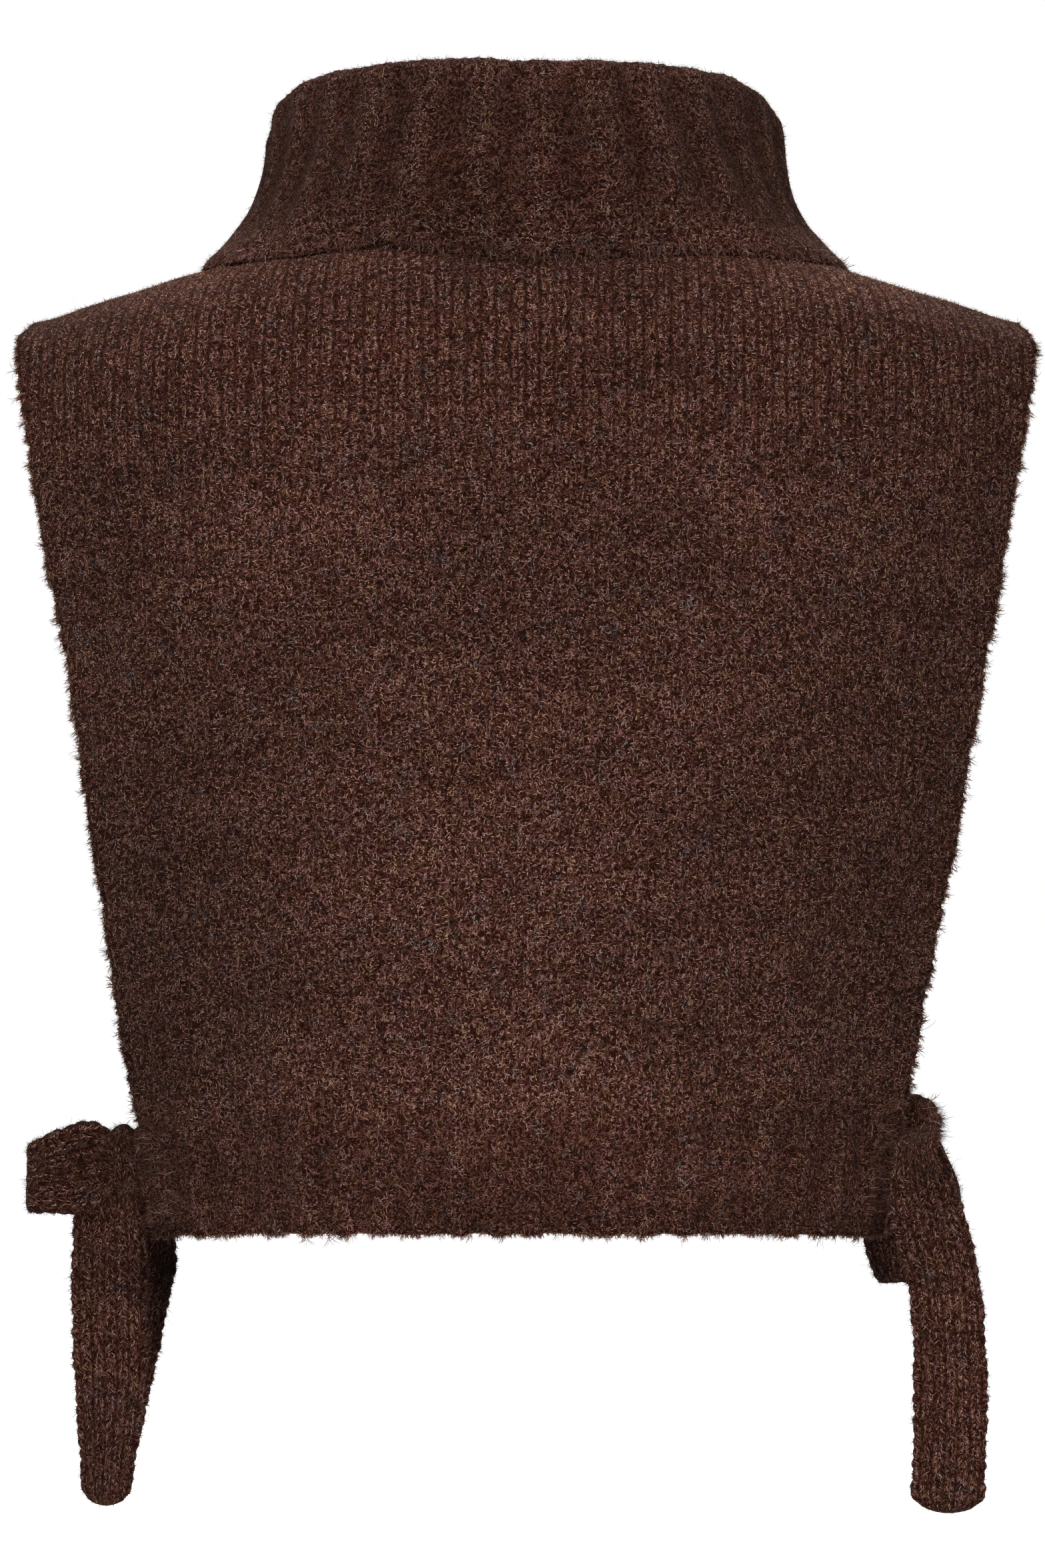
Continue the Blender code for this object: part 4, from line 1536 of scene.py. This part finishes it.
@dataclass
class Band:
    """A stretch of a knitted tie along a route of (x, y, z, width)."""

    name: str
    stops: tuple[tuple[float, float, float, float], ...]
    first_way: Point
    last_way: Point
    tip: float = 0.0                # how long its rounded end is, or 0 where it ends in the knot
    step: float = 0.0013
    buried: float = 0.0015          # how far it runs into the knot
    across: int = 17
    knob: float = 0.0009            # how far the edge stitches stand out
    knob_step: float = 0.0052
    bunched: float = 1.35           # how much closer its columns stand at its edges
    squared: float = 5.714          # how flat its faces are
    wales: float = 2.5              # half of the columns of stitches across it
    wale_rise: float = 0.00045
    uneven_rise: float = 0.0005
    sway: float = 0.0011
    places: Array | None = None     # its surface, once it is built

    def route(self, shares: Array) -> tuple[Array, Array]:
        """Places and widths along the smooth curve through the stops.

        Args:
            shares: how far along it the places are, from 0 to 1.

        Returns:
            The places and the widths.
        """
        fixed = np.array(self.stops, float)
        fixed = np.concatenate([[2 * fixed[0] - fixed[1]], fixed, [2 * fixed[-1] - fixed[-2]]])
        spans = len(fixed) - 3
        k = np.minimum(spans - 1, (spans * shares).astype(int))
        s = (spans * shares - k)[:, None]
        a, b, c, d = (fixed[k + i] for i in range(4))
        square, cube = 2 * a - 5 * b + 4 * c - d, 3 * b - a - 3 * c + d
        found = 0.5 * (2 * b + (c - a) * s + square * s**2 + cube * s**3)
        return found[:, :3], found[:, 3]

    def length(self) -> float:
        """How long the stretch is."""
        return float(lengths_along(self.route(np.linspace(0, 1, 200))[0])[-1])

    def flat(self) -> tuple[float, float]:
        """The flat width and length of the stretch that shows.

        Returns:
            The width and the length.
        """
        middle = self.places.mean(axis=1)
        widths = np.linalg.norm(self.places[:, 0] - self.places[:, self.across - 1], axis=1)
        return float(max(0.010, widths.mean())), float(max(0.010, lengths_along(middle)[-1]))

    def build(self, knot: tuple[Array, Array], material: Material) -> Piece:
        """Makes the stretch, and stops it just inside the knot.

        Args:
            knot: the knot's centre and half sizes.
            material: its knit.

        Returns:
            The piece.
        """
        count = max(8, int(self.length() / self.step))
        fine = np.linspace(0, 1, 40 * count)
        run = lengths_along(self.route(fine)[0])
        shares = np.interp(np.linspace(0, run[-1], count + 1), run, fine)
        if self.tip:
            near = run[-1] - self.tip * np.array([0.8, 0.6, 0.42, 0.26, 0.14, 0.06, 0.015, 0.0])
            keep = np.linspace(0, run[-1] - self.tip, count)
            shares = np.interp(np.concatenate([keep, near]), run, fine)
        places, widths = self.route(shares)
        ways = unit(np.gradient(places, axis=0))
        along = lengths_along(places)
        depth = np.linalg.norm((places - knot[0]) / (knot[1] - self.buried), axis=1)
        keep_rows = depth >= 1.0
        places, widths, ways, along = places[keep_rows], widths[keep_rows], ways[keep_rows], along[keep_rows]
        whole = float(run[-1])
        share = (along / whole)[:, None]
        wide = np.array(self.first_way) * (1 - share) + np.array(self.last_way) * share
        thick = unit(np.cross(ways, wide))
        wide = np.cross(thick, ways)
        left = whole - along
        narrow = np.where(left < self.tip, (1 - (1 - left / max(self.tip, 1e-9)) ** 2).clip(0) ** 0.5, 1.0)
        half = np.maximum(0.16, narrow) * widths / 2

        s = np.linspace(-1, 1, self.across)
        s = np.sin(s * self.bunched) / math.sin(self.bunched)
        face = (1 - np.abs(s) ** self.squared) ** 0.3
        w = np.concatenate([s, s[-2:0:-1]])
        top = np.concatenate([face, -face[-2:0:-1]])
        seed = sum(map(ord, self.name))
        wales = np.abs(np.sin(self.wales * np.pi * (w + 1)))
        relief = self.wale_rise * (wales - 0.5)[None, :] * np.minimum(1, half / 0.012)[:, None]
        flat = half[:, None] * w[None, :]
        lumps = wander(flat + 2 + 0.3 * (top > 0), along[:, None] + 0 * flat, 0.009, seed)
        relief = relief + self.uneven_rise * lumps
        edge = np.abs(w)[None, :] > 0.93
        bumps = np.abs(np.sin(np.pi * along / self.knob_step)) ** 0.7
        bumps = bumps + 0.6 * wander(along + 3 * seed, along * 0, 0.005, seed + 9)
        knob = self.knob * (bumps * np.minimum(1, narrow + 0.3))[:, None] * edge
        sway = self.sway * wander(along + seed, along * 0, 0.022, seed + 7) * smooth_step(left / 0.02)
        t = (TIE_THICK / 2 * np.minimum(1, 0.35 + narrow[:, None])) * top[None, :] + relief * np.sign(top)
        points = (
            places[:, None]
            + (flat + knob * np.sign(w))[..., None] * wide[:, None]
            + (t + sway[:, None])[..., None] * thick[:, None]
        )
        self.places = points
        flat_u = np.where(np.arange(len(w)) < self.across, w * 0.0165, 0.05 - w * 0.0165) + 0.4
        coords = np.stack([np.broadcast_to(flat_u, flat.shape), along[:, None] + 0 * flat], -1)
        return closed_tube(f"{self.name}_knit", points, coords, material)


@dataclass
class Knot:
    """A knot drawn tight: the band goes round it twice, slanting."""

    name: str
    centre: Point
    sizes: Point
    rings: int = 26
    segments: int = 44
    places: Array | None = None     # its surface, once it is built

    def build(self, material: Material) -> Piece:
        """Makes the knot as a squashed ball with the wraps' creases in it.

        Args:
            material: its knit.

        Returns:
            The piece.
        """
        tilt = np.linspace(0.02, math.pi - 0.02, self.rings)[:, None]
        turn = np.linspace(0, 2 * math.pi, self.segments, endpoint=False)[None, :]
        level = np.sin(tilt)
        ball = np.stack(np.broadcast_arrays(level * np.cos(turn), level * np.sin(turn), np.cos(tilt)), -1)
        slant = ball[..., 2] - 0.35 * ball[..., 0]
        steep = ball[..., 0] + 0.4 * ball[..., 1]
        creases = ((slant, 0.10, 0.10, 0.13), (slant, -0.55, 0.09, 0.09), (steep, 0.3, 0.12, 0.06))
        wrap = sum(deep * np.exp(-((way - at) / wide) ** 2) for way, at, wide, deep in creases)
        size = 1.0 - wrap + 0.03 * wander(turn * 2 + 9, tilt * 2, 0.9, 71)
        self.places = np.array(self.centre) + ball * size[..., None] * np.array(self.sizes)
        coords = np.stack(np.broadcast_arrays(turn * 0.012 + 0.7, tilt * 0.013), -1)
        return closed_tube(f"{self.name}_knit", self.places, coords, material, 0.0754)


@dataclass
class Bow:
    """A tied bow at one side: two sewn-on stretches, the knot, two loops and two tails."""

    side: str
    knot: Knot
    root_ends: dict[str, Point]
    bands: tuple[Band, ...]
    sewn_from: float = -0.3985
    sewn_to: float = -0.4345
    hairs: int = 12500              # the fibres that lie all over the bow

    def root(self, panel: Panel) -> Band:
        """The stretch from a panel's side edge to the knot.

        Args:
            panel: the panel that it is sewn to.

        Returns:
            The stretch, not built yet.
        """
        u = -1.0 if self.side == "left" else 1.0
        height, middle_z = self.sewn_from - self.sewn_to, (self.sewn_from + self.sewn_to) / 2
        heights = (self.sewn_from, self.sewn_to, middle_z)
        top, low, edge = (Vector(panel.hung(u, np.float64(z))) for z in heights)
        selvedge = (top - low).normalized()
        way = edge - Vector(panel.hung(u * (1 - 1 / (2 * OUTLINE.hem_ribs)), np.float64(middle_z)))
        way = (way - way.dot(selvedge) * selvedge).normalized()
        inward = way.cross(selvedge) * (u * panel.facing)
        start = edge + 0.0003 * way + KNIT / 2 * inward
        off = start + 0.004 * way
        knot = Vector(self.root_ends[panel.name])
        reach = (knot - off).length
        corners = (off, off + 0.3 * reach * way, knot.lerp(off, 0.35), knot)
        route = [start, start.lerp(off, 0.6)]
        for i in range(6):
            s = i / 5
            t = 1 - s
            weights = (t**3, 3 * t * t * s, 3 * t * s * s, s**3)
            route.append(sum((k * p for k, p in zip(weights, corners)), Vector()))
        stops = tuple(
            (*place, height + (0.012 - height) * float(smooth_step(i / (len(route) - 2))))
            for i, place in enumerate(route)
        )
        return Band(f"tie_{self.side}_{panel.name}_root", stops, tuple(selvedge), UP)

    def build(self, panels: tuple[Panel, ...], knit: Material, hair: Material) -> None:
        """Makes the bow's pieces and their loose fibres.

        Args:
            panels: the back and front, which the ties are sewn to.
            knit, hair: the finishes.
        """
        centre, sizes = np.array(self.knot.centre), np.array(self.knot.sizes)
        knot_piece = self.knot.build(knit)
        finish_piece(knot_piece, "tie_knit", self.knot.name)
        everything: list[tuple[Piece, Band]] = []
        for band in [self.root(p) for p in panels] + list(self.bands):
            piece = band.build((centre, sizes), knit)
            finish_piece(piece, "tie_knit", band.name)
            everything.append((piece, band))
        hairs = self.fibres([band.places for _, band in everything], hair)
        finish_piece(hairs, "tie_knit")
        for i, (piece, band) in enumerate(everything):
            band.flat()

    def fibres(self, bands: list[Array], material: Material) -> Piece:
        """Grows the bow's loose fibres: all over it, thick along the bands' edges, and long over the knot.

        Args:
            bands: the surface of each band.
            material: their finish.

        Returns:
            The piece.
        """
        surfaces = [*bands, self.knot.places]
        areas = np.array([np.prod(s.shape[:2]) for s in surfaces], float)
        seed = 100 if self.side == "left" else 200
        found = []
        for i, (surface, share) in enumerate(zip(surfaces, areas / areas.sum())):
            is_knot = i == len(bands)
            centres = surface.mean(axis=1)
            out = unit(surface - centres[:, None])
            many, some, few = (int(part * self.hairs * share) for part in (1.0, 0.75, 0.02))
            over = Fuzz("over", many, 0.0022, 0.0068, 0.00021, 2, Lay.RUFFLED, seed + i)
            rim = Fuzz("rim", some, 0.0010, 0.0036, 0.00022, 2, seed=seed + 20 + i, clump=3)
            far = Fuzz("far", few, 0.006, 0.014, 0.00017, 5, seed=seed + 40 + i)
            if is_knot:
                rim = Fuzz("rim", 1500, 0.003, 0.010, 0.00024, 3, seed=seed + 20, clump=3)
                sideways = np.copysign(1.0, surface[..., :1] - self.knot.centre[0]) * (1.0, 0.0, 0.0)
                out = unit(0.5 * out + sideways)
            edge = np.zeros(surface.shape[:2])
            columns = surface.shape[1]
            edge[:, [0, 1, columns // 2 - 1, columns // 2, columns // 2 + 1, columns - 1]] = 1.0
            for fuzz, weights, towards in (
                (over, np.ones(edge.shape), None),
                (far, np.ones(edge.shape), None),
                (rim, np.ones(edge.shape) if is_knot else edge, unit(out + (0.0, 0.0, -0.25))),
            ):
                root, normal, wale, toward = fuzz.roots(surface, weights, True, towards)
                nearest = np.argmin(np.linalg.norm(root[:, None] - centres[None], axis=2), axis=1)
                flip = np.sign(np.einsum("ij,ij->i", normal, root - centres[nearest]))
                normal = normal * np.where(flip == 0, 1, flip)[:, None]
                found.append(fuzz.strands(root, normal, wale, None if towards is None else toward))
        return strands_object(f"tie_{self.side}_fibres", found, material)


def finish_piece(piece: Piece, slot: str, *nodes: str) -> None:
    """Makes a piece ride on the poncho, hides the solids that it stands for, and logs its triangles.

    Args:
        piece: the piece.
        slot: not used.
        nodes: the solids that it stands for, if any.
    """
    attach(piece, "root")
    if nodes:
        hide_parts(*nodes)
    triangles = sum(len(p.vertices) - 2 for p in piece.data.polygons)
    LOG.info("%s: %d triangles", piece.name, triangles)


# --------------------------------------------------------------------------- studio


@dataclass
class Studio:
    """A pale floor, soft light all round and the camera straight behind the wearer."""

    floor_z: float = -0.70
    camera: Point = (-0.00124, -3.0, -0.2406)
    lens: float = 222.2
    sky: float = 0.42

    def build(self) -> None:
        """Sets up the floor, the lights and the camera."""
        scene = bpy.context.scene
        scene.view_settings.view_transform = "Standard"
        self.floor()
        world = bpy.data.worlds.new("studio")
        world.use_nodes = True
        g = Graph(world.node_tree)
        backdrop = world.node_tree.nodes["Background"]
        backdrop.inputs["Color"].default_value = (1.0, 1.0, 1.0, 1.0)
        seen = g.add("LightPath").outputs["Is Camera Ray"]
        g.set(backdrop.inputs["Strength"], g.blend(seen, self.sky, 1.0))
        scene.world = world
        for name, place, size, power in (
            ("back_high", (-0.10, -0.70, 1.00), 0.6, 11.0),
            ("back_level", (-0.12, -1.60, 0.10), 0.8, 5.8),
            ("back_low", (-0.05, -0.70, -0.45), 0.3, 0.9),
            ("front_high", (0.15, 0.80, 1.00), 0.6, 9.0),
            ("front_level", (0.10, 1.60, 0.05), 0.8, 5.0),
        ):
            self.light(name, place, size, power)
        lens = bpy.data.cameras.new("camera")
        lens.sensor_fit, lens.sensor_width, lens.lens = "HORIZONTAL", 36.0, self.lens
        lens.clip_end = 60.0
        scene.camera = in_scene("camera", lens)
        scene.camera.location = self.camera
        scene.camera.rotation_euler = (math.pi / 2, 0.0, 0.0)

    def light(self, name: str, place: Point, size: float, power: float) -> None:
        """A square soft light that faces the poncho's middle.

        Args:
            name: what it is called.
            place: where it is.
            size: the length of its side.
            power: its watts.
        """
        lamp = bpy.data.lights.new(name, "AREA")
        lamp.size, lamp.energy = size, power
        lamp.color = (1.0, 0.985, 0.965)
        placed = in_scene(name, lamp)
        placed.location = place
        placed.rotation_euler = (Vector((0, 0, -0.2)) - Vector(place)).to_track_quat("-Z", "Y").to_euler()

    def floor(self) -> None:
        """A wide pale floor, below everything."""
        mesh = bmesh.new()
        level = Matrix.Translation((0, 0, self.floor_z))
        bmesh.ops.create_grid(mesh, x_segments=2, y_segments=2, size=14.0, matrix=level)
        data = bpy.data.meshes.new("floor")
        mesh.to_mesh(data)
        mesh.free()
        material, g, paint = new_material("pale_floor")
        grain = g.noise(g.add("TexCoord").outputs["Object"], 40.0, 3.0).outputs[0]
        g.set(paint.inputs["Base Color"], g.mix(grain, (0.95, 0.95, 0.95, 1), (0.97, 0.97, 0.97, 1)))
        paint.inputs["Roughness"].default_value = 0.8
        paint.inputs["Emission Color"].default_value = (1.0, 1.0, 1.0, 1.0)
        seen = g.add("LightPath").outputs["Is Camera Ray"]
        g.set(paint.inputs["Emission Strength"], g.times(seen, 0.65))
        data.materials.append(material)
        in_scene("floor", data)


# --------------------------------------------------------------------------- everything


def left_bow() -> Bow:
    """The bow at the left: its outer loop stands out, and its near tail hangs in front of the other.

    Returns:
        The bow, not built yet.
    """
    return Bow("left", Knot("tie_left_knot", (-0.185, -0.020, -0.4155), (0.0115, 0.0130, 0.0175)), {
        "back": (-0.182, -0.024, -0.417), "front": (-0.1785, -0.012, -0.415),
    }, (
        Band("tie_left_outer_loop", (
            (-0.186, -0.0275, -0.416, 0.021), (-0.198, -0.0365, -0.416, 0.040),
            (-0.213, -0.0405, -0.419, 0.037), (-0.225, -0.0375, -0.4215, 0.0315),
            (-0.2278, -0.0300, -0.4222, 0.0295), (-0.225, -0.0225, -0.4215, 0.031),
            (-0.212, -0.0185, -0.4190, 0.031), (-0.199, -0.0185, -0.417, 0.025),
            (-0.187, -0.0195, -0.417, 0.016),
        ), UP, UP),
        Band("tie_left_forward_loop", (
            (-0.190, -0.014, -0.414, 0.012), (-0.1975, 0.003, -0.416, 0.024),
            (-0.2015, 0.022, -0.421, 0.032), (-0.1990, 0.038, -0.427, 0.033),
            (-0.1940, 0.0435, -0.429, 0.033), (-0.1895, 0.038, -0.428, 0.033),
            (-0.1890, 0.020, -0.423, 0.030), (-0.1885, 0.003, -0.418, 0.022),
            (-0.1840, -0.014, -0.415, 0.012),
        ), UP, UP),
        Band("tie_left_near_tail", (
            (-0.1880, -0.024, -0.424, 0.014), (-0.1918, -0.0270, -0.440, 0.030),
            (-0.1915, -0.029, -0.456, 0.033), (-0.1915, -0.028, -0.485, 0.0335),
            (-0.1915, -0.026, -0.520, 0.031), (-0.1925, -0.024, -0.550, 0.025),
            (-0.1940, -0.023, -0.5735, 0.022),
        ), SIDEWAYS, SIDEWAYS, 0.011),
        Band("tie_left_far_tail", (
            (-0.183, -0.013, -0.424, 0.014), (-0.179, -0.006, -0.440, 0.024),
            (-0.178, 0.001, -0.457, 0.031), (-0.183, 0.003, -0.488, 0.030),
            (-0.1895, 0.001, -0.528, 0.026), (-0.1915, 0.000, -0.552, 0.022),
        ), SIDEWAYS, SIDEWAYS, 0.014),
    ))


def right_bow() -> Bow:
    """The bow at the right: one loop hangs down behind the hem, and its near tail falls from the knot.

    Returns:
        The bow, not built yet.
    """
    return Bow("right", Knot("tie_right_knot", (0.181, -0.013, -0.398), (0.0120, 0.0130, 0.0135)), {
        "back": (0.180, -0.018, -0.405), "front": (0.1740, -0.004, -0.392),
    }, (
        Band("tie_right_hanging_loop", (
            (0.1790, -0.0105, -0.404, 0.013), (0.1765, -0.0070, -0.426, 0.025),
            (0.1740, -0.004, -0.446, 0.032), (0.1750, 0.001, -0.463, 0.028),
            (0.1775, 0.007, -0.4700, 0.023), (0.1780, 0.012, -0.463, 0.027),
            (0.1780, 0.0115, -0.446, 0.029), (0.1790, 0.0055, -0.427, 0.020),
            (0.1790, -0.0040, -0.404, 0.008),
        ), SIDEWAYS, SIDEWAYS),
        Band("tie_right_forward_loop", (
            (0.1870, -0.009, -0.396, 0.008), (0.1905, 0.004, -0.3995, 0.014),
            (0.1915, 0.020, -0.4085, 0.023), (0.1905, 0.034, -0.4155, 0.029),
            (0.1870, 0.0385, -0.4185, 0.029), (0.1830, 0.034, -0.4165, 0.028),
            (0.1822, 0.019, -0.4085, 0.024), (0.1825, 0.005, -0.397, 0.015),
            (0.1800, -0.009, -0.393, 0.009),
        ), UP, UP),
        Band("tie_right_near_tail", (
            (0.184, -0.019, -0.399, 0.012), (0.1835, -0.034, -0.401, 0.013),
            (0.1790, -0.046, -0.410, 0.018), (0.1815, -0.049, -0.427, 0.030),
            (0.1865, -0.045, -0.447, 0.0325), (0.1920, -0.039, -0.468, 0.0325),
            (0.1950, -0.034, -0.495, 0.0325), (0.1958, -0.030, -0.530, 0.0330),
            (0.1945, -0.027, -0.5765, 0.0325),
        ), SIDEWAYS, SIDEWAYS, 0.0100),
        Band("tie_right_far_tail", (
            (0.187, -0.014, -0.401, 0.010), (0.1975, -0.011, -0.426, 0.018),
            (0.2000, -0.003, -0.448, 0.027), (0.2000, 0.003, -0.482, 0.030),
            (0.1990, 0.004, -0.520, 0.029), (0.1980, 0.004, -0.556, 0.027),
        ), FORWARD, FORWARD, 0.010),
    ))


def make_panels() -> tuple[Panel, Panel]:
    """The back and the front, with their own depths and folds.

    Returns:
        The back and the front, not built yet.
    """
    back = Panel(
        "back", -1, 0.062, 0.080, 2.6,
        ((-0.050, 0.108, 0.058), (-0.150, 0.109, 0.052), (-0.300, 0.103, 0.044),
         (-0.400, 0.099, 0.034), (-0.443, 0.098, 0.030)),
        (Fold(-0.150, -0.280, -0.440, 0.16, 0.020, 0.0050), Fold(-0.085, -0.300, -0.430, 0.10, 0.022, 0.0022),
         Fold(0.070, -0.230, -0.400, -0.12, 0.026, 0.0024), Fold(0.142, -0.270, -0.440, -0.14, 0.019, 0.0045),
         Fold(-0.020, -0.090, -0.230, 0.05, 0.030, 0.0016)),
        (0.51, 0.53), 41000,
    )
    front = Panel(
        "front", 1, 0.066, 0.200, 1.35,
        ((-0.050, 0.118, 0.058), (-0.180, 0.123, 0.052), (-0.300, 0.113, 0.044),
         (-0.400, 0.104, 0.034), (-0.443, 0.102, 0.030)),
        (Fold(-0.145, -0.270, -0.440, 0.14, 0.020, 0.0045), Fold(0.035, -0.290, -0.430, -0.08, 0.026, 0.0024),
         Fold(0.148, -0.290, -0.440, -0.15, 0.019, 0.0050)),
        (0.51, 0.55), 13000,
    )
    return back, front


def main() -> None:
    """Builds the studio, the panels, the collar and the bows."""
    logging.basicConfig(level=logging.INFO, format="%(name)s: %(message)s")
    Studio().build()
    groups = {"stitches": stitches_group(), "fibres": fibres_group(), "melange": melange_group()}
    panel_finish = BrushedKnit("panel_wool", clear_from=0.320)
    # The collar's wool and hair are made darker by strength 0.80: painted shade.
    collar_finish = BrushedKnit(
        "collar_wool", wale=WALE * Collar.narrower, stitch_rise=0.7, gap_dark=0.35, spread=3.0, lean=0.4,
        valley_dark=0.26, strength=0.80,
    )
    tie_finish = BrushedKnit(
        "tie_wool", wale=TIE_WALE, course=TIE_COURSE, stitch_rise=1.0, spread=1.4, lean=0.45, gap_dark=0.36,
        furrow_dark=0.34, clear_from=-1.0, strength=1.12,
    )
    # A lighter, warmer copy of the wool for the fibres on the shoulders and edges: painted highlight.
    rim_finish = BrushedKnit(
        "rim_wool", wine=(1.16, 0.98, 0.84), brown=(1.22, 1.06, 0.80), slate=(1.02, 1.0, 0.95), strength=1.2
    )
    panel_knit, panel_hair = panel_finish.knit(groups), panel_finish.hair(groups)
    rim_hair = rim_finish.hair(groups)
    panels = make_panels()
    pieces = [panel.build(panel_knit) for panel in panels]
    extras = [panel.dress(panel_hair, rim_hair) for panel in panels]
    extras[0] += [ShoulderSeam(side).build(*panels, panel_knit) for side in ("left", "right")]
    for panel, piece, extra in zip(panels, pieces, extras):
        finish_piece(piece, "panel_knit", f"{panel.name}_panel")
        for part in extra:
            finish_piece(part, "panel_knit")
        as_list(extra)
    collar = Collar(*panels)
    piece = collar.build(collar_finish.knit(groups))
    finish_piece(piece, "collar_rib", "collar")
    fibres = collar.dress(collar_finish.hair(groups), panel_hair)
    for extra in fibres:
        finish_piece(extra, "collar_rib")
    knit, hair = tie_finish.knit(groups), tie_finish.hair(groups)
    for bow in (left_bow(), right_bow()):
        bow.build(panels, knit, hair)


if __name__ == "__main__":
    main()
